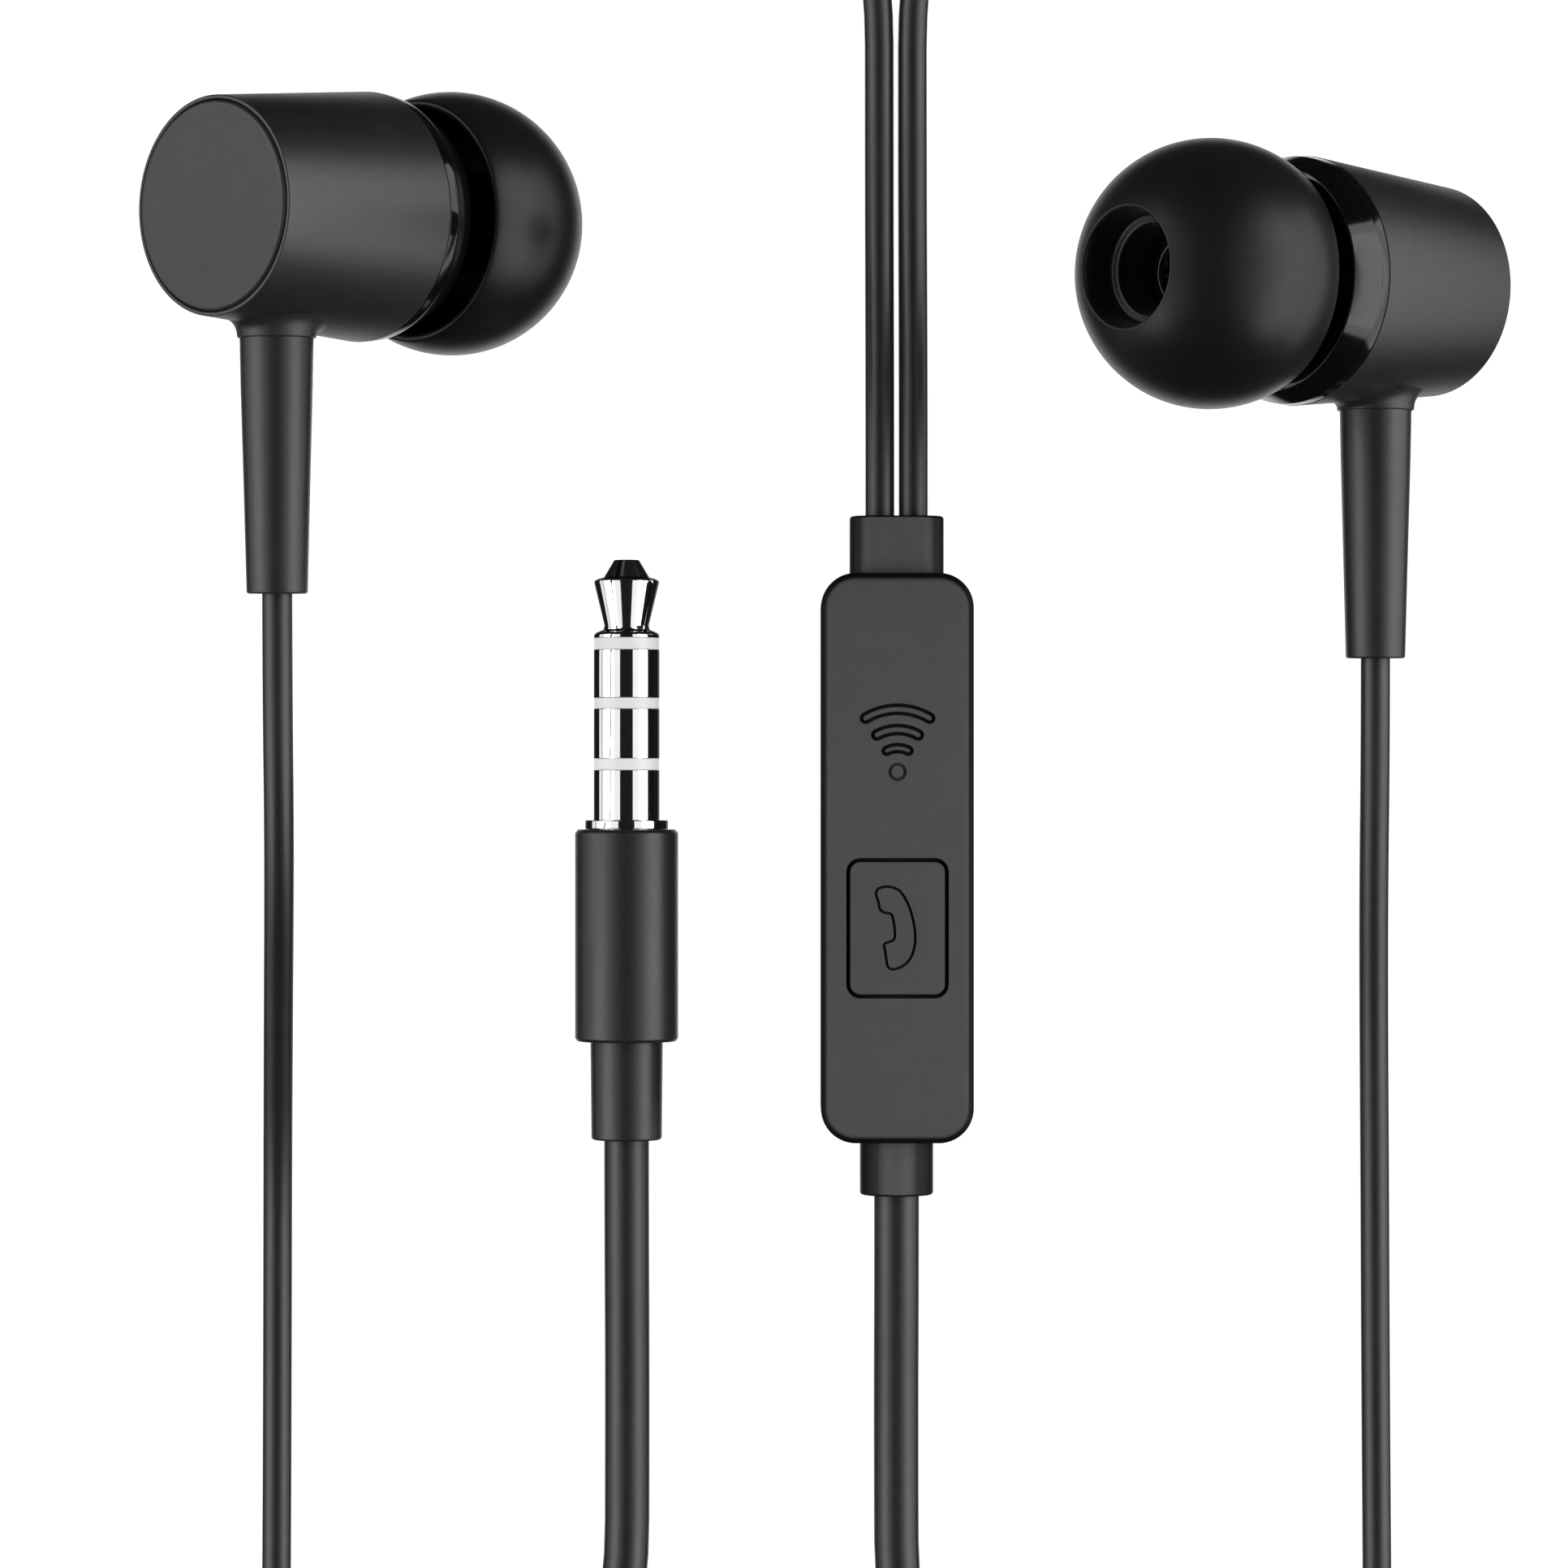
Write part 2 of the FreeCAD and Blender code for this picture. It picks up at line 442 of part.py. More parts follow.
# Cable collars at the two ends, each with a tail held between the shells.
up = doc.addObject("Part::Box", "upper_collar_block")
bind(up, Length="collar_wide", Width="collar_len", Height="collar_thick")
up.Placement = Placement(Vector(-val("collar_wide") / 2, val("box_long") / 2, val("box_mid") - val("collar_thick") / 2), Rotation())
doc.recompute()
rounded = doc.addObject("Part::Fillet", "upper_collar_rounded")
rounded.Base = up
rounded.Edges = [(i + 1, val("collar_round"), val("collar_round")) for i, e in enumerate(up.Shape.Edges)
                 if abs(e.BoundBox.YLength - val("collar_len")) < 1e-6]
tail = doc.addObject("Part::Box", "upper_collar_tail")
bind(tail, Length="3.5", Width="collar_tail + 0.1", Height="2.3")
tail.Placement = Placement(Vector(-1.75, val("box_long") / 2 - val("collar_tail"), val("box_mid") - 1.15), Rotation())
keep(boolean("Fuse", "upper_cable_collar", rounded, tail))
low = cylinder("lower_collar_round", "lower_collar_rad", "lower_collar_len",
               (0, -val("box_long") / 2, val("box_mid")), (0, -1, 0))
tail = doc.addObject("Part::Box", "lower_collar_tail")
bind(tail, Length="2.5", Width="collar_tail + 0.1", Height="2.3")
tail.Placement = Placement(Vector(-1.25, -val("box_long") / 2 - 0.1, val("box_mid") - 1.15), Rotation())
keep(boolean("Fuse", "lower_cable_collar", low, tail))

# Four-pole plug, turned about its own axis: nested contacts with insulating sleeves between them.
PLUG = Placement(Vector(-14.39, 15.86, val("barrel_rad")), Rotation(Vector(0, 0, 1), Vector(0, -1, 0)))
for label, profile in (
    ("plug_tip_contact", [("0", "0"), ("0", "nose_rad"), ("nose_cone", "nose_cone_rad"),
                          ("head_wide", "pin_rad - 0.03"), ("head_wide + 0.12", "pin_rad - 0.03"),
                          ("head_waist", "waist_rad"), ("lip_back - 0.12", "waist_rad"),
                          ("lip_back", "pin_rad"), ("tip_back", "pin_rad"), ("tip_back", "rod_rad"),
                          ("contact_tail", "rod_rad"), ("contact_tail", "0")]),
    ("plug_front_insulator", [("tip_back", "tube_a_in"), ("tip_back", "pin_rad"), ("band_a", "pin_rad"),
                              ("band_a", "tube_a_out"), ("contact_tail - 0.3", "tube_a_out"),
                              ("contact_tail - 0.3", "tube_a_in")]),
    ("plug_ring_1_contact", [("band_a", "tube_b_in"), ("band_a", "pin_rad"), ("band_a_end", "pin_rad"),
                             ("band_a_end", "tube_b_out"), ("contact_tail - 0.6", "tube_b_out"),
                             ("contact_tail - 0.6", "tube_b_in")]),
    ("plug_middle_insulator", [("band_a_end", "tube_c_in"), ("band_a_end", "pin_rad"), ("band_b", "pin_rad"),
                               ("band_b", "tube_c_out"), ("contact_tail - 0.9", "tube_c_out"),
                               ("contact_tail - 0.9", "tube_c_in")]),
    ("plug_ring_2_contact", [("band_b", "tube_d_in"), ("band_b", "pin_rad"), ("band_b_end", "pin_rad"),
                             ("band_b_end", "tube_d_out"), ("contact_tail - 1.2", "tube_d_out"),
                             ("contact_tail - 1.2", "tube_d_in")]),
    ("plug_rear_insulator", [("band_b_end", "tube_e_in"), ("band_b_end", "pin_rad"), ("sleeve_front", "pin_rad"),
                             ("sleeve_front", "tube_e_out"), ("contact_tail - 1.5", "tube_e_out"),
                             ("contact_tail - 1.5", "tube_e_in")]),
    ("plug_sleeve_contact", [("sleeve_front", "sleeve_in"), ("sleeve_front", "pin_rad"),
                             ("flange_front", "pin_rad"), ("flange_front", "flange_rad"),
                             ("flange_back", "flange_rad"), ("flange_back", "hub_rad"),
                             ("contact_tail - 1.8", "hub_rad"), ("contact_tail - 1.8", "sleeve_in")]),
    ("plug_barrel", [("flange_back", "hub_rad + 0.02"), ("flange_back", "barrel_rad - barrel_edge"),
                     ("flange_back + barrel_edge", "barrel_rad"), ("barrel_back - barrel_edge", "barrel_rad"),
                     ("barrel_back", "barrel_rad - barrel_edge"), ("barrel_back", "1.0"),
                     ("contact_tail + 0.6", "1.0"), ("contact_tail + 0.6", "hub_rad + 0.02")]),
    ("plug_boot", [("contact_tail + 3", "0"), ("contact_tail + 3", "0.97"), ("barrel_back", "0.97"),
                   ("barrel_back", "boot_rad"), ("boot_back", "boot_end_rad"), ("boot_back", "0")]),
):
    keep(turned(label, profile), PLUG)


# Cables. A route is a list of corners; the tube is straight runs joined by tangent arcs.
def tube(label, route, dia, flat_end=False):
    pts = [Vector(*p) for p in route]
    runs = [(pts[i + 1] - pts[i]).Length for i in range(len(pts) - 1)]
    edges, here, length, radii = [], pts[0], 0.0, []
    for i in range(1, len(pts) - 1):
        u, v = (pts[i] - pts[i - 1]).normalize(), (pts[i + 1] - pts[i]).normalize()
        turn = u.getAngle(v)
        cut = 0.45 * min(runs[i - 1], runs[i])
        rad = cut / math.tan(turn / 2)
        radii.append(rad)
        s, e = pts[i] - u * cut, pts[i] + v * cut
        mid_dir = (v - u).normalize()
        mid = pts[i] + mid_dir * (rad / math.cos(turn / 2) - rad)
        edges.append(Part.LineSegment(here, s).toShape())
        edges.append(Part.Arc(s, mid, e).toShape())
        length += (s - here).Length + rad * turn
        here = e
    edges.append(Part.LineSegment(here, pts[-1]).toShape())
    length += (pts[-1] - here).Length
    wire = Part.Wire(edges)
    circle = Part.Wire([Part.Circle(pts[0], (pts[1] - pts[0]).normalize(), dia / 2).toShape()])
    shape = wire.makePipeShell([circle], True, False)
    want = math.pi * dia * dia / 4 * length
    print("%s: length %.1f mm, volume off by %.3f%%, tightest radius %.2f mm (%.1f diameters), longest run %.1f"
          % (label, length, 100 * (shape.Volume / want - 1), min(radii), min(radii) / dia, max(runs)))
    assert abs(shape.Volume / want - 1) < 0.01, label
    f = doc.addObject("Part::Feature", label)
    f.Shape = shape
    keep(f)
    return length


LEFT_ROUTE = [
    (-31.83, 13.62, 15.83), (-31.83, 8.42, 15.69), (-31.95, 0.60, 13.30), (-32.52, -8.20, 7.60),
    (-33.03, -16.60, 2.30), (-33.18, -23.80, 0.775), (-33.22, -37.80, 0.775), (-33.38, -56.00, 0.775),
    (-33.60, -69.50, 0.775), (-38.46, -74.36, 0.775), (-45.34, -74.36, 0.775), (-50.20, -69.50, 0.775),
    (-50.55, -57.00, 0.775), (-51.00, -32.00, 0.775), (-51.00, 8.00, 0.775), (-50.60, 36.50, 0.775),
    (-50.00, 50.20, 0.775), (-45.90, 54.30, 0.775), (-33.50, 54.55, 0.775), (-17.50, 54.55, 0.775),
    (-4.99, 54.30, 0.775), (-0.89, 50.20, 0.775), (-0.89, 36.50, 0.775), (-0.89, 27.50, 2.35),
    (-0.89, 22.70, 2.75), (-0.89, 18.17, 2.75)]
RIGHT_ROUTE = [
    (25.09, 10.52, 6.91), (25.09, 5.54, 6.87), (25.20, -1.60, 5.00), (25.50, -9.00, 2.20),
    (25.70, -16.50, 0.775), (25.75, -29.00, 0.775), (25.95, -55.00, 0.775), (26.20, -69.60, 0.775),
    (30.65, -74.05, 0.775), (36.95, -74.05, 0.775), (41.40, -69.60, 0.775), (41.75, -57.00, 0.775),
    (42.20, -32.00, 0.775), (42.20, 8.00, 0.775), (41.80, 36.50, 0.775), (41.20, 50.20, 0.775),
    (37.10, 54.30, 0.775), (25.50, 54.50, 0.775), (14.00, 54.50, 0.775), (4.99, 54.30, 0.775),
    (0.89, 50.20, 0.775), (0.89, 36.50, 0.775), (0.89, 27.50, 2.35), (0.89, 22.70, 2.75),
    (0.89, 18.17, 2.75)]
MAIN_ROUTE = [
    (0.0, -17.96, 2.75), (0.0, -22.60, 2.75), (0.0, -30.50, 1.20), (0.05, -43.00, 1.20),
    (6.80, -50.68, 1.20)]
PLUG_ROUTE = [
    (-14.39, -15.04, 2.75), (-14.39, -19.30, 2.75), (-14.39, -28.00, 1.20), (-14.42, -43.20, 1.50),
    (-21.00, -51.20, 3.60)]
tube("left_cable", LEFT_ROUTE, val("bud_cable_dia"))
tube("right_cable", RIGHT_ROUTE, val("bud_cable_dia"))
tube("main_cable_from_control", MAIN_ROUTE, val("main_cable_dia"))
tube("main_cable_to_plug", PLUG_ROUTE, val("main_cable_dia"))

# The rest of the main cable is wound in a flat round coil of two layers.
ring = turned("main_cable_coil", [
    ("0", "coil_turn_rad - coil_wide/2 + 0.6"), ("0", "coil_turn_rad + coil_wide/2 - 0.6"),
    ("0.6", "coil_turn_rad + coil_wide/2"), ("coil_thick - 0.6", "coil_turn_rad + coil_wide/2"),
    ("coil_thick", "coil_turn_rad + coil_wide/2 - 0.6"), ("coil_thick", "coil_turn_rad - coil_wide/2 + 0.6"),
    ("coil_thick - 0.6", "coil_turn_rad - coil_wide/2"), ("0.6", "coil_turn_rad - coil_wide/2")])
keep(ring, Placement(Vector(val("coil_x"), val("coil_y"), 0), Rotation()))

doc.recompute()
bad = [o.Name for o in doc.Objects if "Invalid" in o.State or "Error" in o.State]
for o in made:
    s = o.Shape
    if s.isNull() or not s.isValid() or s.Volume <= 0:
        bad.append(o.Label + " shape")
    if len(s.Solids) != 1:
        bad.append("%s has %d solids" % (o.Label, len(s.Solids)))
assert not bad, bad
labels = [o.Label for o in made]
assert len(set(labels)) == len(labels), sorted(labels)
assert 5 < doc.getObject("front_hollow").Shape.Volume < doc.getObject("front_edge").Shape.Volume
for o in made:
    o.Shape.exportStep("parts/%s.step" % o.Label)
print(len(made), "parts")
for o in made:
    b = o.Shape.BoundBox
    print("%-26s %8.2f mm3  x %7.2f %7.2f  y %7.2f %7.2f  z %6.2f %6.2f"
          % (o.Label, o.Shape.Volume, b.XMin, b.XMax, b.YMin, b.YMax, b.ZMin, b.ZMax))
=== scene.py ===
import math
import bpy
import bmesh
from mathutils import Matrix, Vector


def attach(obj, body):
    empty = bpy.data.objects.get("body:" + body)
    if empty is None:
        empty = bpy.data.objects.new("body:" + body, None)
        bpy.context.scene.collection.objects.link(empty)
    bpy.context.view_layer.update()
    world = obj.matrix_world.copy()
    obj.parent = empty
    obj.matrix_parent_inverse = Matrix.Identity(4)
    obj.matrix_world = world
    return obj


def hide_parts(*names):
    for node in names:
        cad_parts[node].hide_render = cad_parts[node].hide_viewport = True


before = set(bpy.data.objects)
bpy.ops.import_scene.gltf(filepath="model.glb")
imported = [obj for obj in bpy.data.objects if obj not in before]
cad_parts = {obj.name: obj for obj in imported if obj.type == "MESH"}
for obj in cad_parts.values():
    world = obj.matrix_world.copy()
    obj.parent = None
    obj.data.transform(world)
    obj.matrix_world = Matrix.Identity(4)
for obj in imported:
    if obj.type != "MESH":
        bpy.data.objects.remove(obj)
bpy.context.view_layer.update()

MM = 0.001
ROOT = "earphones"
scene = bpy.context.scene
scene.view_settings.view_transform = "Standard"

# ---------------------------------------------------------------- camera
cam = bpy.data.cameras.new("camera")
cam.sensor_width = 36.0
cam.lens = 128.0
cam.clip_start, cam.clip_end = 0.01, 50.0
camera = bpy.data.objects.new("camera", cam)
camera.location = (-0.0060, 0.00392, 0.300)
camera.rotation_euler = (0.0, 0.0, 0.0)
scene.collection.objects.link(camera)
scene.camera = camera


# ---------------------------------------------------------------- material helpers
def shader(name):
    m = bpy.data.materials.new(name)
    m.use_nodes = True
    nt = m.node_tree
    bsdf = next(n for n in nt.nodes if n.type == "BSDF_PRINCIPLED")
    return m, nt, bsdf


def node(nt, kind, **props):
    n = nt.nodes.new(kind)
    for k, v in props.items():
        setattr(n, k, v)
    return n


def noise(nt, coord, scale, detail=4.0, rough=0.55, stretch=None):
    src = coord
    if stretch:
        mp = node(nt, "ShaderNodeMapping")
        mp.inputs["Scale"].default_value = stretch
        nt.links.new(coord, mp.inputs["Vector"])
        src = mp.outputs["Vector"]
    n = node(nt, "ShaderNodeTexNoise")
    n.inputs["Scale"].default_value = scale
    n.inputs["Detail"].default_value = detail
    n.inputs["Roughness"].default_value = rough
    nt.links.new(src, n.inputs["Vector"])
    return n.outputs["Fac"]


def ranged(nt, fac, lo, hi, a=0.3, b=0.7):
    r = node(nt, "ShaderNodeMapRange")
    r.inputs["From Min"].default_value, r.inputs["From Max"].default_value = a, b
    r.inputs["To Min"].default_value, r.inputs["To Max"].default_value = lo, hi
    nt.links.new(fac, r.inputs["Value"])
    return r.outputs["Result"]


def ramp(nt, fac, stops):
    r = node(nt, "ShaderNodeValToRGB")
    while len(r.color_ramp.elements) < len(stops):
        r.color_ramp.elements.new(0.5)
    for e, (pos, col) in zip(r.color_ramp.elements, stops):
        e.position, e.color = pos, (*col, 1.0)
    nt.links.new(fac, r.inputs["Fac"])
    return r.outputs["Color"]


def bump(nt, bsdf, layers):
    """Stacked bumps, each (height, strength, distance in metres)."""
    last = None
    for height, strength, distance in layers:
        b = node(nt, "ShaderNodeBump")
        b.inputs["Strength"].default_value = strength
        b.inputs["Distance"].default_value = distance
        nt.links.new(height, b.inputs["Height"])
        if last:
            nt.links.new(last, b.inputs["Normal"])
        last = b.outputs["Normal"]
    nt.links.new(last, bsdf.inputs["Normal"])


def edge_mask(nt, radius):
    """1 along convex and concave edges, 0 on open surface, from a bevelled normal."""
    bev = node(nt, "ShaderNodeBevel", samples=6)
    bev.inputs["Radius"].default_value = radius
    geo = node(nt, "ShaderNodeNewGeometry")
    dot = node(nt, "ShaderNodeVectorMath", operation="DOT_PRODUCT")
    nt.links.new(bev.outputs["Normal"], dot.inputs[0])
    nt.links.new(geo.outputs["Normal"], dot.inputs[1])
    return ranged(nt, dot.outputs["Value"], 1.0, 0.0, 0.80, 0.995)


def polymer(name, dark, light, rough, grain=5200.0, grain_depth=0.000010, specular=0.5,
            spots=900.0, wear=0.5, wear_radius=0.00018, coat=0.0, sheen=0.0, wear_col=None, painted_side_shade=None):
    """Moulded plastic or rubber: grain, faint mottling, handling polish and worn edges.
    painted_side_shade is (colour, lower, upper, specular): surfaces of the piece that lean away from its face, by the
    height of their normal, take a darker colour and less specular, which is painted shade on the sides and leaves the
    face lighter as a painted highlight."""
    m, nt, b = shader(name)
    co = node(nt, "ShaderNodeTexCoord").outputs["Object"]
    fine = noise(nt, co, grain, 3.0, 0.6)
    mottle = noise(nt, co, spots, 4.0, 0.6)
    cloud = noise(nt, co, 130.0, 3.0, 0.5)
    base = ramp(nt, mottle, [(0.3, dark), (0.72, light)])
    # painted shade: colour and specular follow the height of the normal, near black on the sides and lighter on the
    # up-facing face
    if painted_side_shade:
        split = node(nt, "ShaderNodeSeparateXYZ")
        nt.links.new(node(nt, "ShaderNodeTexCoord").outputs["Normal"], split.inputs[0])
        face = node(nt, "ShaderNodeMix", data_type="RGBA")
        nt.links.new(ranged(nt, split.outputs["Z"], 0.0, 1.0, painted_side_shade[1], painted_side_shade[2]), face.inputs["Factor"])
        face.inputs["A"].default_value = (*painted_side_shade[0], 1.0)
        nt.links.new(base, face.inputs["B"])
        base = face.outputs["Result"]
        nt.links.new(ranged(nt, split.outputs["Z"], painted_side_shade[3], specular, painted_side_shade[1], painted_side_shade[2]), b.inputs["Specular IOR Level"])
    if wear > 0:
        mix = node(nt, "ShaderNodeMix", data_type="RGBA")
        mask = node(nt, "ShaderNodeMath", operation="MULTIPLY")
        nt.links.new(edge_mask(nt, wear_radius), mask.inputs[0])
        nt.links.new(ranged(nt, mottle, 0.15 * wear, wear, 0.35, 0.65), mask.inputs[1])
        nt.links.new(mask.outputs[0], mix.inputs["Factor"])
        nt.links.new(base, mix.inputs["A"])
        mix.inputs["B"].default_value = (*(wear_col or tuple(min(1.0, 2.1 * c + 0.012) for c in light)), 1.0)
        base = mix.outputs["Result"]
    nt.links.new(base, b.inputs["Base Color"])
    r = node(nt, "ShaderNodeMath", operation="ADD")
    nt.links.new(ranged(nt, cloud, rough - 0.035, rough + 0.035), r.inputs[0])
    nt.links.new(ranged(nt, fine, -0.03, 0.03), r.inputs[1])
    nt.links.new(r.outputs[0], b.inputs["Roughness"])
    b.inputs["Specular IOR Level"].default_value = specular
    b.inputs["Coat Weight"].default_value = coat
    b.inputs["Coat Roughness"].default_value = 0.06
    b.inputs["Sheen Weight"].default_value = sheen
    b.inputs["Sheen Roughness"].default_value = 0.5
    bump(nt, b, [(fine, 0.35, grain_depth), (mottle, 0.18, grain_depth * 2.2)])
    return m


def metal(name, col, rough, brushed=(900.0, 900.0, 900.0), depth=0.0000015, grazing_tint=1.0):
    m, nt, b = shader(name)
    co = node(nt, "ShaderNodeTexCoord").outputs["Object"]
    lines = noise(nt, co, 1.0, 5.0, 0.6, stretch=brushed)
    cloud = noise(nt, co, 300.0, 3.0, 0.5)
    c0 = tuple(0.94 * c for c in col)
    nt.links.new(ramp(nt, cloud, [(0.3, c0), (0.7, col)]), b.inputs["Base Color"])
    b.inputs["Metallic"].default_value = 1.0
    # grazing_tint tints the reflection at glancing angles; at 0 it paints the edges dark
    b.inputs["Specular Tint"].default_value = (grazing_tint, grazing_tint, grazing_tint, 1.0)
    nt.links.new(ranged(nt, lines, rough * 0.7, rough * 1.4), b.inputs["Roughness"])
    bump(nt, b, [(lines, 0.15, depth)])
    return m


M = {
    "housing": polymer("matte_housing", (0.0115, 0.0115, 0.0120), (0.0150, 0.0150, 0.0155), 0.43, specular=0.52),
    "cap": polymer("matte_cap", (0.0230, 0.0230, 0.0235), (0.0270, 0.0270, 0.0276), 0.47, specular=0.38),
    "gloss": polymer("gloss_cover", (0.0030, 0.0030, 0.0032), (0.0044, 0.0044, 0.0047), 0.10, grain=1500.0,
                     grain_depth=0.0000008, specular=0.42, wear=0.25),
    "silicone": polymer("silicone_tip", (0.0045, 0.0045, 0.0048), (0.0055, 0.0055, 0.0059), 0.37, grain=3800.0,
                        grain_depth=0.000005, specular=0.27, wear=0.2, wear_radius=0.0003, sheen=0.02),
    "relief": polymer("relief_rubber", (0.0115, 0.0115, 0.0119), (0.0150, 0.0150, 0.0155), 0.37, specular=0.48),
    # collar: a lighter face and near-black sides by the height of the normal, a painted highlight on top and painted
    # shade on the sides
    "collar": polymer("collar_rubber", (0.0740, 0.0740, 0.0750), (0.0820, 0.0820, 0.0832), 0.46, specular=0.28,
                      painted_side_shade=((0.0040, 0.0040, 0.0042), 0.84, 0.975, 0.14), wear=0.12),
    "jacket": polymer("cable_jacket", (0.0115, 0.0115, 0.0119), (0.0150, 0.0150, 0.0155), 0.37, grain=4200.0,
                      grain_depth=0.000007, specular=0.50, wear=0.0),
    # control shell and call key: a lighter face and near-black sides by the height of the normal, painted shade as a
    # dark outline round the face
    "control": polymer("control_shell", (0.0640, 0.0640, 0.0650), (0.0700, 0.0700, 0.0712), 0.48, specular=0.36,
                       painted_side_shade=((0.0050, 0.0050, 0.0052), 0.84, 0.99, 0.08), wear=0.10),
    "key": polymer("call_key", (0.0640, 0.0640, 0.0650), (0.0710, 0.0710, 0.0722), 0.46, specular=0.36,
                   painted_side_shade=((0.0050, 0.0050, 0.0052), 0.84, 0.99, 0.08), wear=0.10),
    # near-black and dark grey for the faces inside the cut grooves: painted shade in the grooves
    "engraved": polymer("groove_painted_shade", (0.0040, 0.0040, 0.0042), (0.0070, 0.0070, 0.0073), 0.6, specular=0.15, wear=0.0),
    "faint": polymer("shallow_groove_painted_shade", (0.0200, 0.0200, 0.0204), (0.0260, 0.0260, 0.0265), 0.5, specular=0.2, wear=0.0),
    "overmould": polymer("plug_overmould", (0.0115, 0.0115, 0.0119), (0.0150, 0.0150, 0.0155), 0.37, specular=0.50),
    "insulator": polymer("plug_insulator", (0.86, 0.86, 0.85), (0.93, 0.93, 0.92), 0.34, grain=3000.0,
                         grain_depth=0.000003, wear=0.15, wear_col=(0.70, 0.69, 0.67)),
    # a grazing_tint of 0 turns the plating's glancing reflections black: a painted dark reflection along the pin's
    # edges
    "chrome": metal("plug_plating", (0.93, 0.93, 0.935), 0.06, brushed=(700.0, 26000.0, 700.0), depth=0.0000006, grazing_tint=0.0),
    "steel": metal("plated_steel", (0.52, 0.52, 0.53), 0.28, brushed=(5000.0, 5000.0, 5000.0)),
    "copper": metal("wound_copper", (0.62, 0.30, 0.14), 0.30, brushed=(9000.0, 9000.0, 9000.0), depth=0.00001),
    "film": polymer("driver_film", (0.30, 0.27, 0.20), (0.36, 0.32, 0.25), 0.2, wear=0.0, coat=0.4),
    "board": polymer("board_mask", (0.006, 0.045, 0.016), (0.010, 0.065, 0.024), 0.3, wear=0.4, wear_col=(0.20, 0.19, 0.10)),
    "foam": polymer("driver_foam", (0.012, 0.012, 0.012), (0.03, 0.03, 0.03), 0.9, grain=2600.0, grain_depth=0.00006),
    "screen": metal("woven_screen", (0.20, 0.20, 0.21), 0.35, brushed=(16000.0, 16000.0, 16000.0), depth=0.00002),
}


# ---------------------------------------------------------------- mesh helpers
def finish_piece(obj, mat, body=ROOT, nodes=(), angle=32.0):
    obj.data.materials.clear()
    obj.data.materials.append(M[mat])
    if obj.type == "MESH":
        obj.data.shade_smooth()
        obj.data.set_sharp_from_angle(angle=math.radians(angle))
    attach(obj, body)
    if nodes:
        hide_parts(*nodes)
    return obj


def new_mesh(name, verts, faces):
    me = bpy.data.meshes.new(name)
    me.from_pydata([tuple(v) for v in verts], [], faces)
    me.validate()
    bm = bmesh.new()
    bm.from_mesh(me)
    bmesh.ops.recalc_face_normals(bm, faces=bm.faces)
    bm.to_mesh(me)
    bm.free()
    o = bpy.data.objects.new(name, me)
    scene.collection.objects.link(o)
    return o


def filleted(profile, closed=False, seg=6):
    """A profile of (z, r) or (z, r, fillet) corners, in mm, with the fillets cut in as arcs."""
    n, out = len(profile), []
    for i, p in enumerate(profile):
        rad = p[2] if len(p) > 2 else 0.0
        if rad <= 0 or (not closed and i in (0, n - 1)):
            out.append((p[0], p[1]))
            continue
        c = Vector(p[:2])
        a, b = Vector(profile[i - 1][:2]), Vector(profile[(i + 1) % n][:2])
        u, v = (a - c), (b - c)
        lu, lv = u.length, v.length
        u, v = u / lu, v / lv
        half = u.angle(v) / 2
        cut = min(rad / math.tan(half), 0.48 * lu, 0.48 * lv)
        rad = cut * math.tan(half)
        centre = c + (u + v).normalized() * (rad / math.sin(half))
        s, e = c + u * cut - centre, c + v * cut - centre
        turn = math.atan2(s.x * e.y - s.y * e.x, s.dot(e))
        for k in range(seg + 1):
            t = turn * k / seg
            q = Vector((s.x * math.cos(t) - s.y * math.sin(t), s.x * math.sin(t) + s.y * math.cos(t)))
            out.append(tuple(centre + q))
    return out


def lathe(name, profile, place, n=112, closed=False, seg=6, raw=False):
    """A surface of revolution about local Z, placed by a matrix (mm in, metres out)."""
    prof = profile if raw else filleted(profile, closed, seg)
    verts, faces, rings = [], [], []
    for z, r in prof:
        if r < 1e-6:
            rings.append([len(verts)])
            verts.append(place @ Vector((0, 0, z)) * MM)
        else:
            rings.append(list(range(len(verts), len(verts) + n)))
            for k in range(n):
                t = 2 * math.pi * k / n
                verts.append(place @ Vector((r * math.cos(t), r * math.sin(t), z)) * MM)
    pairs = list(zip(rings, rings[1:])) + ([(rings[-1], rings[0])] if closed else [])
    for a, b in pairs:
        for k in range(n):
            j = (k + 1) % n
            if len(a) == 1 and len(b) == 1:
                continue
            if len(a) == 1:
                faces.append((a[0], b[k], b[j]))
            elif len(b) == 1:
                faces.append((a[k], b[0], a[j]))
            else:
                faces.append((a[k], b[k], b[j], a[j]))
    return new_mesh(name, verts, faces)


def rounded_rect(w, l, c, k=10):
    """Half sizes w, l and corner c, counterclockwise."""
    pts = []
    for cx, cy, a0 in ((w - c, l - c, 0), (-w + c, l - c, 90), (-w + c, -l + c, 180), (w - c, -l + c, 270)):
        for i in range(k + 1):
            t = math.radians(a0 + 90 * i / k)
            pts.append((cx + c * math.cos(t), cy + c * math.sin(t)))
    return pts


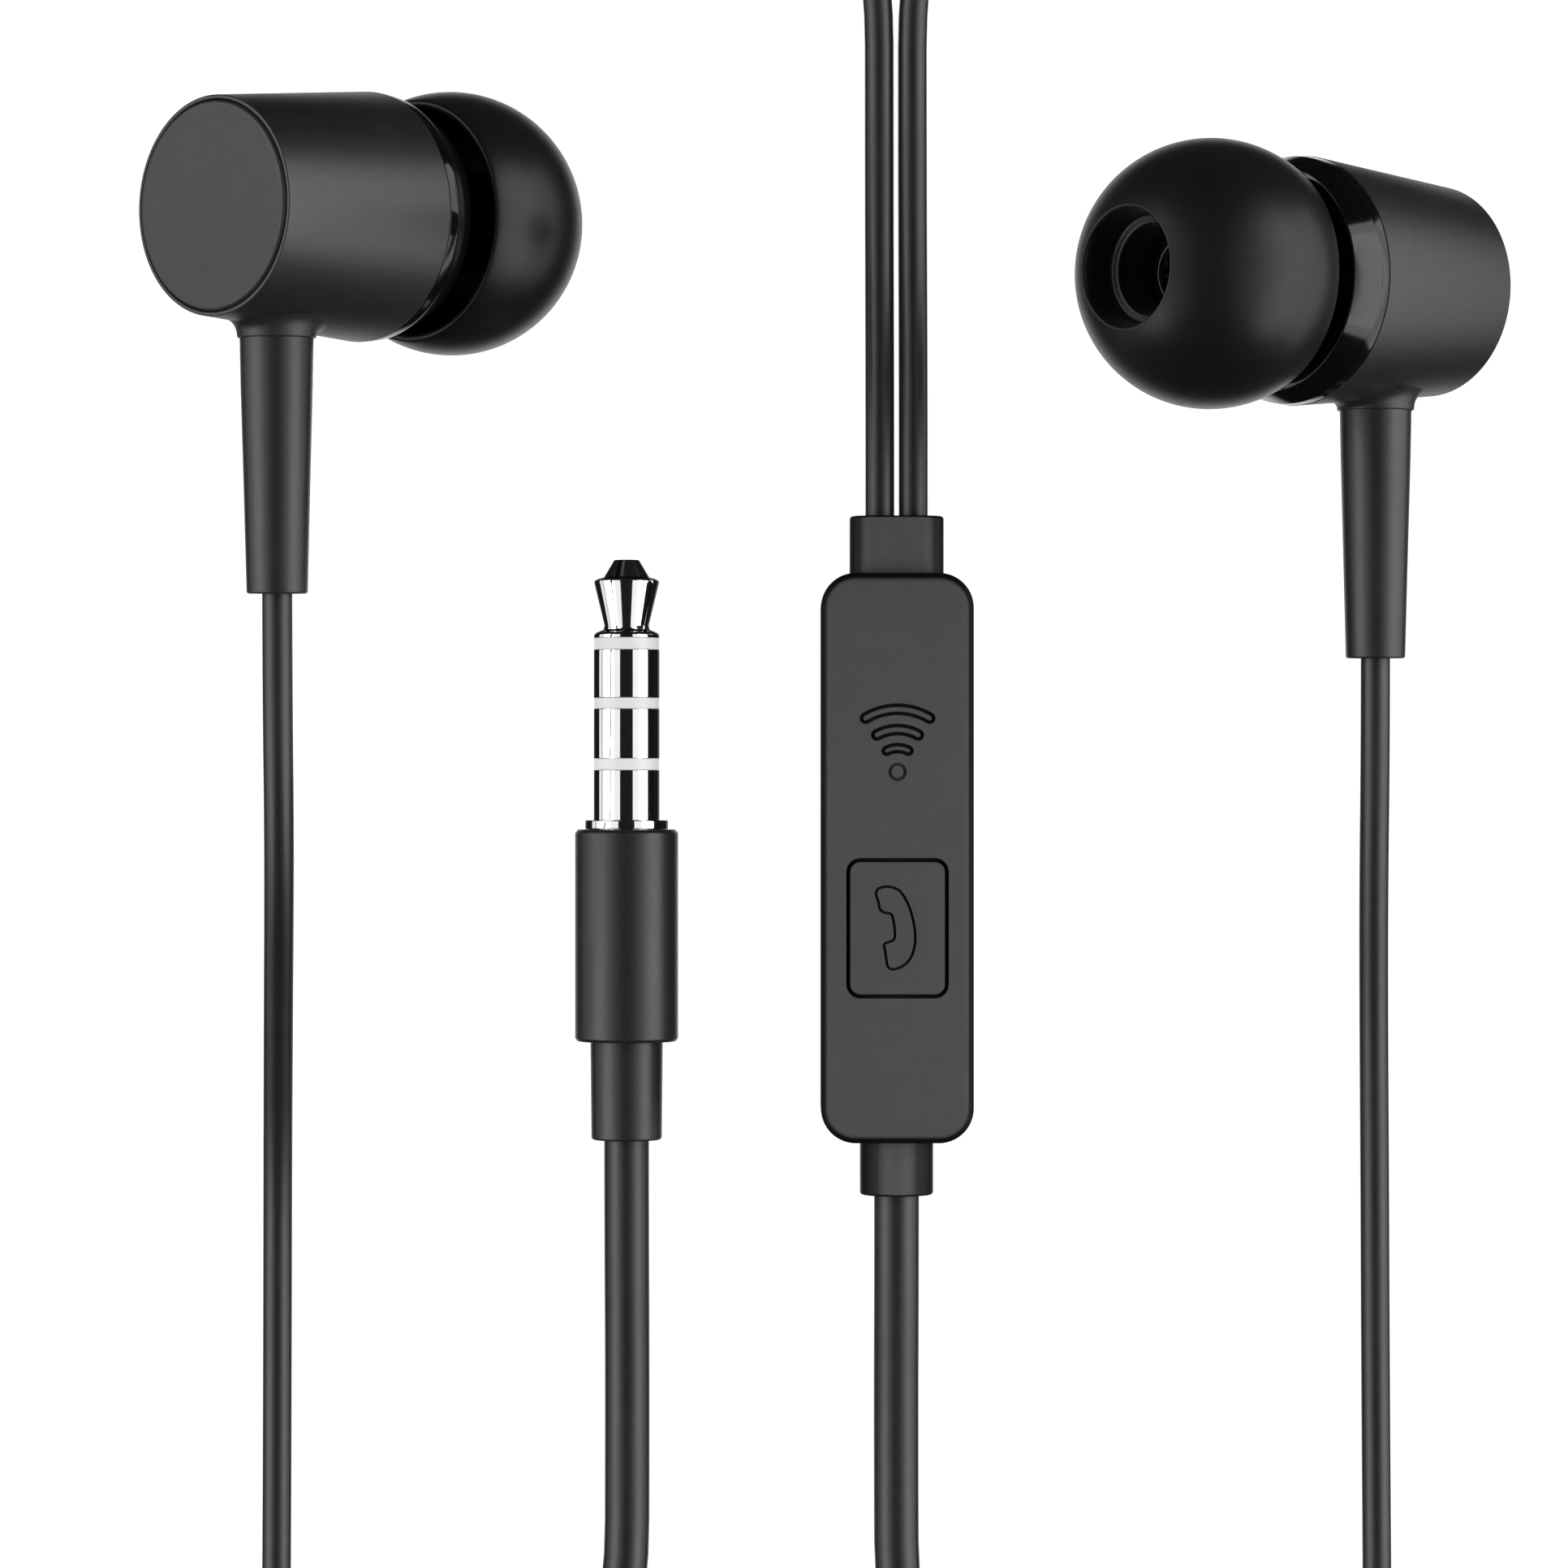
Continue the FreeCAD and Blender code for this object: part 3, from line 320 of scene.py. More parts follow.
def prism(name, w, l, c, levels, place, k=10, cap=(True, True), inner=None):
    """A rounded rectangle carried through (height, inset) levels. inner is not used."""
    verts, loops, faces = [], [], []
    for h, inset in levels:
        pts = rounded_rect(w - inset, l - inset, max(c - inset, 0.05), k)
        loops.append(list(range(len(verts), len(verts) + len(pts))))
        verts += [place @ Vector((x, y, h)) * MM for x, y in pts]
    for a, b in zip(loops, loops[1:]):
        for i in range(len(a)):
            j = (i + 1) % len(a)
            faces.append((a[i], b[i], b[j], a[j]))
    if cap[0]:
        faces.append(tuple(loops[0]))
    if cap[1]:
        faces.append(tuple(reversed(loops[-1])))
    return new_mesh(name, verts, faces)


def arc_levels(z0, z1, edge0, edge1, seg=6):
    """Levels from z0 to z1 with rounded edges of radius edge0 below and edge1 above."""
    out = []
    if edge0 > 0:
        out += [(z0 + edge0 * (1 - math.cos(math.pi / 2 * i / seg)), edge0 * (1 - math.sin(math.pi / 2 * i / seg)))
                for i in range(seg + 1)]
    else:
        out.append((z0, 0.0))
    if edge1 > 0:
        out += [(z1 - edge1 * (1 - math.sin(math.pi / 2 * i / seg)), edge1 * (1 - math.cos(math.pi / 2 * i / seg)))
                for i in range(seg + 1)]
    else:
        out.append((z1, 0.0))
    return out


def apply_modifiers(obj):
    deps = bpy.context.evaluated_depsgraph_get()
    me = bpy.data.meshes.new_from_object(obj.evaluated_get(deps))
    obj.modifiers.clear()
    obj.data = me
    return obj


def cut(obj, tools, solver="EXACT"):
    for t in tools:
        mod = obj.modifiers.new("cut", "BOOLEAN")
        mod.operation, mod.solver, mod.object = "DIFFERENCE", solver, t
    bpy.context.view_layer.update()
    apply_modifiers(obj)
    for t in tools:
        bpy.data.objects.remove(t, do_unlink=True)
    return obj


def trench(name, pts, bottom, top, half):
    """A straight-walled cutter along a closed flat line, for an engraved line."""
    n, verts, faces = len(pts), [], []
    for i in range(n):
        a, b = Vector(pts[i - 1]), Vector(pts[(i + 1) % n])
        d = (b - a).normalized()
        q, side = Vector(pts[i]), Vector((d.y, -d.x))
        for r, z in ((-half, bottom), (half, bottom), (half, top), (-half, top)):
            verts.append(((q.x + side.x * r) * MM, (q.y + side.y * r) * MM, z * MM))
    for i in range(n):
        j = (i + 1) % n
        for k in range(4):
            m = (k + 1) % 4
            faces.append((4 * i + k, 4 * j + k, 4 * j + m, 4 * i + m))
    return new_mesh(name, verts, faces)


def engrave(obj, mat, top, inside):
    """The cut faces below the top surface take their own darker material, painted shade inside the grooves."""
    obj.data.materials.append(M[mat])
    index = len(obj.data.materials) - 1
    for poly in obj.data.polygons:
        c = poly.center / MM
        if c.z < top - 0.004 and inside(c):
            poly.material_index = index


# ---------------------------------------------------------------- cords
BUD_D, MAIN_D = 0.00155, 0.0024


def cord_curve(name, pts, diameter, mat="jacket"):
    cu = bpy.data.curves.new(name, "CURVE")
    cu.dimensions = "3D"
    sp = cu.splines.new("NURBS")
    sp.points.add(len(pts) - 1)
    for p, q in zip(sp.points, pts):
        p.co = (*q, 1.0)
    sp.order_u = 3
    sp.use_endpoint_u = True
    sp.resolution_u = 8
    cu.bevel_depth = diameter / 2
    cu.bevel_resolution = 9
    cu.use_fill_caps = True
    cu.resolution_u = 8
    o = bpy.data.objects.new(name, cu)
    scene.collection.objects.link(o)
    o.data.materials.append(M[mat])
    return o


LEFT_ROUTE = [
    (-0.03183, 0.01362, 0.01583), (-0.03183, 0.00842, 0.01569), (-0.03195, 0.00060, 0.01330),
    (-0.03252, -0.00820, 0.00760), (-0.03303, -0.01660, 0.00230), (-0.03318, -0.02380, 0.000775),
    (-0.03322, -0.03780, 0.000775), (-0.03338, -0.05600, 0.000775), (-0.03360, -0.06950, 0.000775),
    (-0.03846, -0.07436, 0.000775), (-0.04534, -0.07436, 0.000775), (-0.05020, -0.06950, 0.000775),
    (-0.05055, -0.05700, 0.000775), (-0.05100, -0.03200, 0.000775), (-0.05100, 0.00800, 0.000775),
    (-0.05060, 0.03650, 0.000775), (-0.05000, 0.05020, 0.000775), (-0.04590, 0.05430, 0.000775),
    (-0.03350, 0.05455, 0.000775), (-0.01750, 0.05455, 0.000775), (-0.00499, 0.05430, 0.000775),
    (-0.00089, 0.05020, 0.000775), (-0.00089, 0.03650, 0.000775), (-0.00089, 0.02750, 0.00235),
    (-0.00089, 0.02270, 0.00275), (-0.00089, 0.01817, 0.00275)]
RIGHT_ROUTE = [
    (0.02509, 0.01052, 0.00691), (0.02509, 0.00554, 0.00687), (0.02520, -0.00160, 0.00500),
    (0.02550, -0.00900, 0.00220), (0.02570, -0.01650, 0.000775), (0.02575, -0.02900, 0.000775),
    (0.02595, -0.05500, 0.000775), (0.02620, -0.06960, 0.000775), (0.03065, -0.07405, 0.000775),
    (0.03695, -0.07405, 0.000775), (0.04140, -0.06960, 0.000775), (0.04175, -0.05700, 0.000775),
    (0.04220, -0.03200, 0.000775), (0.04220, 0.00800, 0.000775), (0.04180, 0.03650, 0.000775),
    (0.04120, 0.05020, 0.000775), (0.03710, 0.05430, 0.000775), (0.02550, 0.05450, 0.000775),
    (0.01400, 0.05450, 0.000775), (0.00499, 0.05430, 0.000775), (0.00089, 0.05020, 0.000775),
    (0.00089, 0.03650, 0.000775), (0.00089, 0.02750, 0.00235), (0.00089, 0.02270, 0.00275),
    (0.00089, 0.01817, 0.00275)]
MAIN_START = [(0.0, -0.01796, 0.00275), (0.0, -0.02260, 0.00275), (0.0, -0.03050, 0.00120), (0.00005, -0.04300, 0.00120)]
MAIN_END = [(-0.02100, -0.05120, 0.00360), (-0.01442, -0.04320, 0.00150), (-0.01439, -0.02800, 0.00120),
            (-0.01439, -0.01930, 0.00275), (-0.01439, -0.01504, 0.00275)]


def coil_points(cx, cy, mean, d, start_deg, turns_down, turns_up, per_turn=16):
    """A flat coil of two layers: inwards below, one climbing turn inside, outwards above."""
    out, grow = [], 1.0 / math.cos(math.pi / per_turn) ** 0.5 / 0.9905
    total = turns_down + 1 + turns_up
    count = int(round(total * per_turn))
    for i in range(count + 1):
        n = i / per_turn
        if n <= turns_down:
            r, z = mean + (turns_down / 2 - n) * d, d / 2
        elif n <= turns_down + 1:
            t = n - turns_down
            s = min(max((t - 0.2) / 0.6, 0.0), 1.0)
            r = mean - turns_down / 2 * d - 0.6 * d * math.sin(math.pi * t)
            z = d / 2 + d * s * s * (3 - 2 * s)
        else:
            r, z = mean + (-turns_down / 2 + n - turns_down - 1) * d, 1.5 * d
        a = math.radians(start_deg) - 2 * math.pi * n
        out.append((cx + r * grow * math.cos(a), cy + r * grow * math.sin(a), z))
    return out


COIL = coil_points(-0.0072, -0.0620, 0.0134, MAIN_D, 31.0, 4, 3.625)
left_cord = cord_curve("left_bud_cord", LEFT_ROUTE, BUD_D)
right_cord = cord_curve("right_bud_cord", RIGHT_ROUTE, BUD_D)
main_cord = cord_curve("main_cord", MAIN_START + COIL + MAIN_END, MAIN_D)
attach(left_cord, ROOT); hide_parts("left_cable")
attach(right_cord, ROOT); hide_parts("right_cable")
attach(main_cord, ROOT)
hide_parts("main_cable_from_control", "main_cable_to_plug", "main_cable_coil")

# ---------------------------------------------------------------- placements, as in the CAD
def frame_of(origin, axis, cable):
    z = Vector(axis).normalized()
    y = -Vector(cable)
    y = (y - z * y.dot(z)).normalized()
    x = y.cross(z)
    return Matrix(((x.x, y.x, z.x, origin[0]), (x.y, y.y, z.y, origin[1]), (x.z, y.z, z.z, origin[2]), (0, 0, 0, 1)))


def along(origin, direction, up=(0, 0, 1)):
    """Local Z along a direction, local Y near up."""
    z = Vector(direction).normalized()
    y = Vector(up)
    y = (y - z * y.dot(z)).normalized()
    x = y.cross(z)
    return Matrix(((x.x, y.x, z.x, origin[0]), (x.y, y.y, z.y, origin[1]), (x.z, y.z, z.z, origin[2]), (0, 0, 0, 1)))


BUDS = {
    "left": ((-34.72, 33.02, 19.63), (0.6610, 0.0200, -0.7500), (0.0, -0.99964, -0.02666)),
    "right": ((28.334, 30.043, 4.13), (-0.7423, -0.0052, 0.6700), (0.0, -0.99997, -0.00776)),
}
HOUSING_SLOPE = (6.46 - 5.56) / 10.45


def housing_radius(s):
    return 5.56 + HOUSING_SLOPE * s


def tip_profile():
    """The ear tip's section: dome, rolled mouth, flared bore, stem and folded skirt."""
    c, ball, pts = 16.97, 6.9, []
    for k in range(45):                                     # outer dome, mouth to rear rim
        phi = math.radians(27.8 + (114.2 - 27.8) * k / 44)
        pts.append((c + ball * math.cos(phi), ball * math.sin(phi)))
    rim = 0.21                                              # rolled rear rim
    phi = math.radians(114.2)
    rc = ball - rim
    centre = Vector((c + rc * math.cos(phi), rc * math.sin(phi)))
    out = Vector((math.cos(phi), math.sin(phi)))
    back = Vector((-math.sin(phi), math.cos(phi)))
    for k in range(1, 9):
        t = math.pi * k / 9
        q = centre + out * rim * math.cos(t) + back * rim * math.sin(t)
        pts.append((q.x, q.y))
    for k in range(34):                                     # inner skirt
        f = k / 33
        phi = math.radians(114.0 - (114.0 - 37.0) * f)
        r = ball - 0.42 - 0.13 * f
        pts.append((c + r * math.cos(phi), r * math.sin(phi)))
    pts += [(21.85, 3.46), (21.55, 3.27), (21.0, 3.17), (20.0, 3.13), (17.0, 3.08), (14.2, 3.02),
            (13.6, 3.0), (13.38, 2.93), (13.27, 2.80), (13.25, 2.62), (13.27, 2.42), (13.36, 2.31), (13.55, 2.27),
            (15.5, 2.27), (17.5, 2.27), (19.5, 2.27), (21.12, 2.27), (21.24, 2.29), (21.30, 2.35), (21.32, 2.45), (21.32, 2.62),
            (21.35, 2.73), (21.44, 2.78), (21.65, 2.81), (22.2, 2.87), (22.7, 2.93), (22.93, 2.97), (23.06, 3.03),
            (23.12, 3.10), (23.12, 3.17), (23.08, 3.22)]
    return pts


for side, (origin, axis, cable) in BUDS.items():
    P = frame_of(origin, axis, cable)
    R = along(P @ Vector((0, 0, 4.37)), cable, axis)

    finish_piece(lathe(side + "_housing_skin", [
        (0.80, 5.34), (0.05, 5.34, 0.05), (0.0, 5.40, 0.04), (0.0, 5.56, 0.10), (10.45, 6.46, 0.05), (10.45, 5.62),
        (8.2, 5.62), (1.2, 4.75), (1.2, 4.45), (0.8, 4.45)], P, 144, closed=True),
        "housing", nodes=[side + "_housing"])
    finish_piece(lathe(side + "_cap_disc", [
        (-0.12, 0.0), (-0.122, 2.4), (-0.12, 4.9), (-0.12, 5.20, 0.14), (0.06, 5.30, 0.06), (0.80, 5.30), (0.80, 4.4),
        (1.15, 4.4), (1.15, 3.9), (0.80, 3.9), (0.80, 0.0)], P, 144),
        "cap", nodes=[side + "_rear_cap"])
    finish_piece(lathe(side + "_cover_and_nozzle", [
        (8.6, 5.06), (8.6, 5.55), (10.47, 5.55), (10.47, 6.44, 0.05), (11.1, 6.40, 0.4), (12.50, 5.87, 0.10),
        (12.62, 5.45, 0.1), (12.62, 4.6, 0.12), (12.95, 4.35, 0.12), (12.95, 3.4, 0.12), (13.1, 3.1, 0.1),
        (13.1, 2.0, 0.25), (17.2, 2.0, 0.06), (17.2, 2.22, 0.07), (18.5, 2.22, 0.25), (19.1, 2.0, 0.10),
        (19.1, 1.55, 0.10), (11.5, 1.55), (11.5, 4.4), (10.1, 4.4), (10.1, 5.06)], P, 144, closed=True),
        "gloss", nodes=[side + "_front_cover"])

    # the silicone tip rides on its own body, so that it can be pulled off
    finish_piece(lathe(side + "_tip_dome", tip_profile(), P, 160, closed=True, raw=True),
                 "silicone", body=side + "_tip", nodes=[side + "_ear_tip"], angle=60)

    # woven screen: two sets of wires passing over and under each other
    verts, faces = [], []
    pitch, wire, rad, seg = 0.215, 0.052, 1.53, 6
    half = int(rad / pitch)
    for family in (0, 1):
        for i in range(-half, half + 1):
            off = i * pitch
            reach = math.sqrt(max(rad * rad - off * off, 0.0))
            steps = max(int(reach / pitch * 8), 6)
            base = len(verts)
            for k in range(steps + 1):
                a = -reach + 2 * reach * k / steps
                lift = 0.05 * math.cos(math.pi * a / pitch) * (1 if (i + family) % 2 else -1)
                for q in range(seg):
                    t = 2 * math.pi * q / seg
                    x, y, z = a, off + wire * math.cos(t), 18.17 + lift + wire * math.sin(t)
                    if family:
                        x, y = y, x
                    verts.append(P @ Vector((x, y, z)) * MM)
            for k in range(steps):
                for q in range(seg):
                    j = (q + 1) % seg
                    faces.append((base + k * seg + q, base + k * seg + j, base + (k + 1) * seg + j, base + (k + 1) * seg + q))
            faces.append(tuple(base + q for q in range(seg)))
            faces.append(tuple(base + steps * seg + q for q in reversed(range(seg))))
    finish_piece(new_mesh(side + "_screen_weave", verts, faces), "screen",
                 nodes=[side + "_nozzle_screen"], angle=60)

    # flared boss that the relief comes out of, its foot on the tapering housing
    n, rows = 96, []
    section = [(2.62, -0.10, 1.0), (2.48, 0.015, 1.0), (2.30, 0.10, 0.97), (2.17, 0.24, 0.88), (2.08, 0.42, 0.68),
               (2.035, 0.62, 0.40), (2.02, 0.80, 0.16), (2.005, 0.89, 0.05), (1.965, 0.935, 0.0), (1.91, 0.945, 0.0),
               (1.80, 0.90, 0.0)]
    verts, faces = [], []
    for r, lift, hug in section:
        ring = []
        for k in range(n):
            t = 2 * math.pi * k / n
            x, s = r * math.cos(t), r * math.sin(t)
            big = housing_radius(4.37 + s)
            surface = math.sqrt(max(big * big - x * x, 0.1))
            u = hug * (surface + lift) + (1 - hug) * (5.55 + lift)
            ring.append(len(verts))
            verts.append(P @ Vector((x, -u, 4.37 + s)) * MM)
        rows.append(ring)
    for a, b in zip(rows, rows[1:]):
        for k in range(n):
            j = (k + 1) % n
            faces.append((a[k], b[k], b[j], a[j]))
    boss = new_mesh(side + "_relief_boss", verts, faces)
    finish_piece(boss, "housing", angle=50)

    finish_piece(lathe(side + "_relief_sleeve", [
        (4.05, 0.0), (4.05, 1.7), (4.62, 1.7), (4.62, 1.3), (5.42, 1.3), (5.42, 1.90), (9.0, 1.835), (14.0, 1.70),
        (19.5, 1.56, 0.13), (19.5, 0.86, 0.05), (19.35, 0.80), (19.35, 0.0)], R, 96),
        "relief", nodes=[side + "_strain_relief"])

# ---------------------------------------------------------------- control box
I = Matrix.Identity(4)
W, L, C = 4.05, 15.1, 1.85
rear = prism("control_back_shell", W, L, C, arc_levels(0.0, 2.68, 0.8, 0.05, 8), I, k=14)
cut(rear, [prism("t1", W - 0.8, L - 0.8, C - 0.8, [(0.9, 0), (3.2, 0)], I),
           lathe("t2", [(-0.5, 0), (-0.5, 0.4), (1.5, 0.4), (1.5, 0)], Matrix.Translation((0, 4.66, 0)), 40)])
finish_piece(rear, "control", nodes=["control_rear_cover"])

front = prism("control_face_shell", W, L, C, arc_levels(2.72, 5.5, 0.05, 0.55, 10), I, k=14)


def arc_outline(cx, cy, r0, r1, half_deg, k=18):
    """A rounded-end annular sector, opening upwards, as a closed outline."""
    pts, rm, cap = [], (r0 + r1) / 2, (r1 - r0) / 2
    h = math.radians(half_deg)
    for i in range(k + 1):
        a = math.pi / 2 - h + 2 * h * i / k
        pts.append((cx + r1 * math.cos(a), cy + r1 * math.sin(a)))
    for side_a, sgn in ((math.pi / 2 + h, 1), (math.pi / 2 - h, -1)):
        ex, ey = cx + rm * math.cos(side_a), cy + rm * math.sin(side_a)
        start = side_a if sgn > 0 else side_a + math.pi
        for i in range(1, 8):
            a = start + math.pi * i / 8
            pts.append((ex + cap * math.cos(a), ey + cap * math.sin(a)))
        if sgn > 0:
            for i in range(k + 1):
                a = math.pi / 2 + h - 2 * h * i / k
                pts.append((cx + r0 * math.cos(a), cy + r0 * math.sin(a)))
    return pts


DOT = (0.0, 4.56)
tools = [prism("t3", W - 0.8, L - 0.8, C - 0.8, [(2.2, 0), (4.55, 0)], I),
         prism("t4", 2.71, 3.715, 0.75, [(4.0, 0), (6.0, 0)], Matrix.Translation((0, -3.7, 0)), k=12)]
for k, (r0, r1, h) in enumerate(((1.07, 1.44, 27.4), (2.02, 2.45, 29.3), (3.09, 3.52, 30.8))):
    tools.append(trench("g%d" % k, arc_outline(*DOT, r0, r1, h, 14 + 6 * k), 5.26, 5.8, 0.10))
tools.append(trench("g9", [(0.40 * math.cos(2 * math.pi * i / 40), DOT[1] + 0.40 * math.sin(2 * math.pi * i / 40))
                           for i in range(40)], 5.42, 5.8, 0.085))
cut(front, tools)
finish_piece(front, "control", nodes=["control_front_cover"])
# the faces in the arc and dot grooves take darker colours: painted shade in the grooves
engrave(front, "engraved", 5.5, lambda c: 5.2 < c.z and abs(c.x) < 2.6 and 5.3 < c.y < 8.7)
engrave(front, "faint", 5.5, lambda c: 5.2 < c.z and abs(c.x) < 0.6 and 4.0 < c.y < 5.12)

key = prism("call_key_cap", 2.53, 3.535, 0.57, arc_levels(4.37, 5.5, 0.0, 0.08, 4), Matrix.Translation((0, -3.7, 0)), k=12)
flange = prism("call_key_flange", 2.95, 3.95, 0.8, [(4.15, 0), (4.47, 0)], Matrix.Translation((0, -3.7, 0)), k=8)
HANDSET = [(-1.176, 1.043), (-1.134, 1.295), (-0.966, 1.435), (-0.616, 1.505), (-0.266, 1.463), (0.085, 1.295),
           (0.365, 0.945), (0.617, 0.454), (0.813, -0.176), (0.940, -0.807), (0.968, -1.368), (0.912, -1.858),
           (0.757, -2.320), (0.505, -2.671), (0.155, -2.909), (-0.224, -3.021), (-0.448, -2.965), (-0.560, -2.797),
           (-0.616, -2.489), (-0.686, -1.998), (-0.742, -1.718), (-0.644, -1.578), (-0.406, -1.508), (-0.224, -1.410),
           (-0.140, -1.186), (-0.168, -0.737), (-0.238, -0.317), (-0.308, -0.064), (-0.448, 0.048), (-0.686, 0.076),
           (-0.868, 0.160), (-0.980, 0.314), (-1.064, 0.735)]


def smooth_closed(pts, per=5, round_=0.5):
    out, n = [], len(pts)
    for i in range(n):
        p0, p1, p2, p3 = (Vector(pts[(i + j) % n]) for j in (-1, 0, 1, 2))
        for k in range(per):
            t = k / per
            a = p1 + (p2 - p0) * t * round_ * 0.5 * 0 + (p2 - p1) * t
            m1, m2 = (p2 - p0) * 0.5 * round_, (p3 - p1) * 0.5 * round_
            h = ((2 * t ** 3 - 3 * t ** 2 + 1) * p1 + (t ** 3 - 2 * t ** 2 + t) * m1
                 + (-2 * t ** 3 + 3 * t ** 2) * p2 + (t ** 3 - t ** 2) * m2)
            out.append(tuple(h))
    return out


HAND_Y = -2.999
cut(key, [trench("g10", smooth_closed([(x * 0.965, y * 0.965 + HAND_Y + 0.044) for x, y in HANDSET], 5, 0.9), 5.36, 5.8, 0.072)])
finish_piece(key, "key", body="call_key", nodes=["call_button"])
# the faces in the handset groove take a near-black colour: painted shade in the groove
engrave(key, "engraved", 5.5, lambda c: 5.2 < c.z and abs(c.x) < 1.6 and -6.8 < c.y < -1.0)
finish_piece(flange, "key", body="call_key")

UP = along((0, 15.1, 2.75), (0, 1, 0), (0, 0, 1))
finish_piece(prism("upper_collar_sleeve", 2.5, 1.7, 1.2, arc_levels(-0.9, 3.07, 0.0, 0.16, 6), UP, k=14),
             "collar", nodes=["upper_cable_collar"])
DOWN = along((0, -15.1, 2.75), (0, -1, 0), (0, 0, 1))
finish_piece(lathe("lower_collar_sleeve", [(-0.9, 0.0), (-0.9, 1.95), (2.86, 1.95, 0.16), (2.86, 1.28, 0.05), (2.70, 1.22),
                                           (2.70, 0.0)], DOWN, 96),
             "collar", nodes=["lower_cable_collar"])

# ---------------------------------------------------------------- plug
PL = along((-14.39, 15.86, 2.75), (0, -1, 0), (0, 0, 1))
for name, mat, slot, nodes_, prof, closed in (
    ("pin_nose", "chrome", "plug_metal", ["plug_tip_contact"],
     [(0.0, 0.0), (0.0, 0.66, 0.08), (0.92, 1.21, 0.03), (1.00, 1.50, 0.04), (1.12, 1.72, 0.05), (1.26, 1.72, 0.05),
      (3.50, 1.18, 0.14), (3.72, 1.24, 0.06), (3.86, 1.60, 0.08), (3.98, 1.73, 0.08), (4.15, 1.75, 0.02), (4.15, 0.42), (17.0, 0.42), (17.0, 0.0)], False),
    ("pin_insulator_front", "insulator", "plug_insulator", ["plug_front_insulator"],
     [(4.16, 0.45), (4.16, 1.74, 0.03), (4.78, 1.74, 0.03), (4.78, 0.72), (16.7, 0.72), (16.7, 0.45)], True),
    ("pin_ring_1", "chrome", "plug_metal", ["plug_ring_1_contact"],
     [(4.79, 0.75), (4.79, 1.75, 0.035), (7.35, 1.75, 0.035), (7.35, 0.95), (16.4, 0.95), (16.4, 0.75)], True),
    ("pin_insulator_middle", "insulator", "plug_insulator", ["plug_middle_insulator"],
     [(7.36, 0.98), (7.36, 1.74, 0.03), (7.93, 1.74, 0.03), (7.93, 1.14), (16.1, 1.14), (16.1, 0.98)], True),
    ("pin_ring_2", "chrome", "plug_metal", ["plug_ring_2_contact"],
     [(7.94, 1.17), (7.94, 1.75, 0.035), (10.58, 1.75, 0.035), (10.58, 1.3), (15.8, 1.3), (15.8, 1.17)], True),
    ("pin_insulator_rear", "insulator", "plug_insulator", ["plug_rear_insulator"],
     [(10.59, 1.33), (10.59, 1.74, 0.03), (11.19, 1.74, 0.03), (11.19, 1.46), (15.5, 1.46), (15.5, 1.33)], True),
    ("pin_sleeve", "chrome", "plug_metal", ["plug_sleeve_contact"],
     [(11.20, 1.49), (11.20, 1.75, 0.035), (13.87, 1.75, 0.03), (13.87, 2.20, 0.06), (14.34, 2.20, 0.06), (14.34, 1.75),
      (15.2, 1.75), (15.2, 1.49)], True),
    ("plug_grip", "overmould", "plug_overmould", ["plug_barrel"],
     [(14.36, 1.79), (14.36, 2.60, 0.10), (14.55, 2.75, 0.14), (25.48, 2.75, 0.14), (25.65, 2.62, 0.10), (25.65, 1.0), (17.6, 1.0),
      (17.6, 1.79)], True),
    ("plug_boot_sleeve", "overmould", "plug_overmould", ["plug_boot"],
     [(20.0, 0.0), (20.0, 0.97), (25.60, 0.97), (25.60, 1.97, 0.02), (25.72, 1.93, 0.05), (30.9, 1.88, 0.16), (30.9, 1.28, 0.05), (30.75, 1.22),
      (30.75, 0.0)], False),
):
    o = finish_piece(lathe(name, prof, PL, 112, closed=closed), mat, nodes=nodes_)

# ---------------------------------------------------------------- CAD nodes that stay, with finer materials
KEEP = {"cable_ferrule": "steel", "driver_basket": "steel", "driver_magnet": "steel", "driver_top_plate": "steel",
        "driver_guard": "steel", "driver_gasket": "foam", "terminal_board": "board", "voice_coil": "copper",
        "diaphragm": "film", "control_circuit_board": "board", "microphone": "steel", "switch_base": "control",
        "switch_plunger": "insulator"}
for name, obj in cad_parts.items():
    for tail, mat in KEEP.items():
        if name.endswith(tail):
            for s in obj.material_slots:
                s.material = M[mat]

# ---------------------------------------------------------------- stage and light
floor_mat, nt, fb = shader("pale_floor")
co = node(nt, "ShaderNodeTexCoord").outputs["Object"]
nt.links.new(ramp(nt, noise(nt, co, 60.0, 3.0), [(0.3, (0.245, 0.245, 0.245)), (0.7, (0.255, 0.255, 0.255))]), fb.inputs["Base Color"])
fb.inputs["Roughness"].default_value = 0.9
fb.inputs["Specular IOR Level"].default_value = 0.1
# the backdrop burns out to white behind the object, and stays a mid grey in what the object reflects
fo = next(n for n in nt.nodes if n.type == "OUTPUT_MATERIAL")
glow = node(nt, "ShaderNodeEmission")
glow.inputs["Color"].default_value = (1.0, 1.0, 1.0, 1.0)
seen = node(nt, "ShaderNodeLightPath")
amount = node(nt, "ShaderNodeMath", operation="MULTIPLY")
amount.inputs[1].default_value = 0.97
nt.links.new(seen.outputs["Is Camera Ray"], amount.inputs[0])
nt.links.new(amount.outputs[0], glow.inputs["Strength"])
both = node(nt, "ShaderNodeAddShader")
nt.links.new(fb.outputs[0], both.inputs[0])
nt.links.new(glow.outputs[0], both.inputs[1])
nt.links.new(both.outputs[0], fo.inputs["Surface"])
bm = bmesh.new()
bmesh.ops.create_grid(bm, x_segments=8, y_segments=8, size=6.0)
me = bpy.data.meshes.new("floor")
bm.to_mesh(me)
bm.free()
floor = bpy.data.objects.new("floor", me)
floor.data.materials.append(floor_mat)
floor.location = (0, 0, -0.00002)
floor.visible_glossy = False
scene.collection.objects.link(floor)

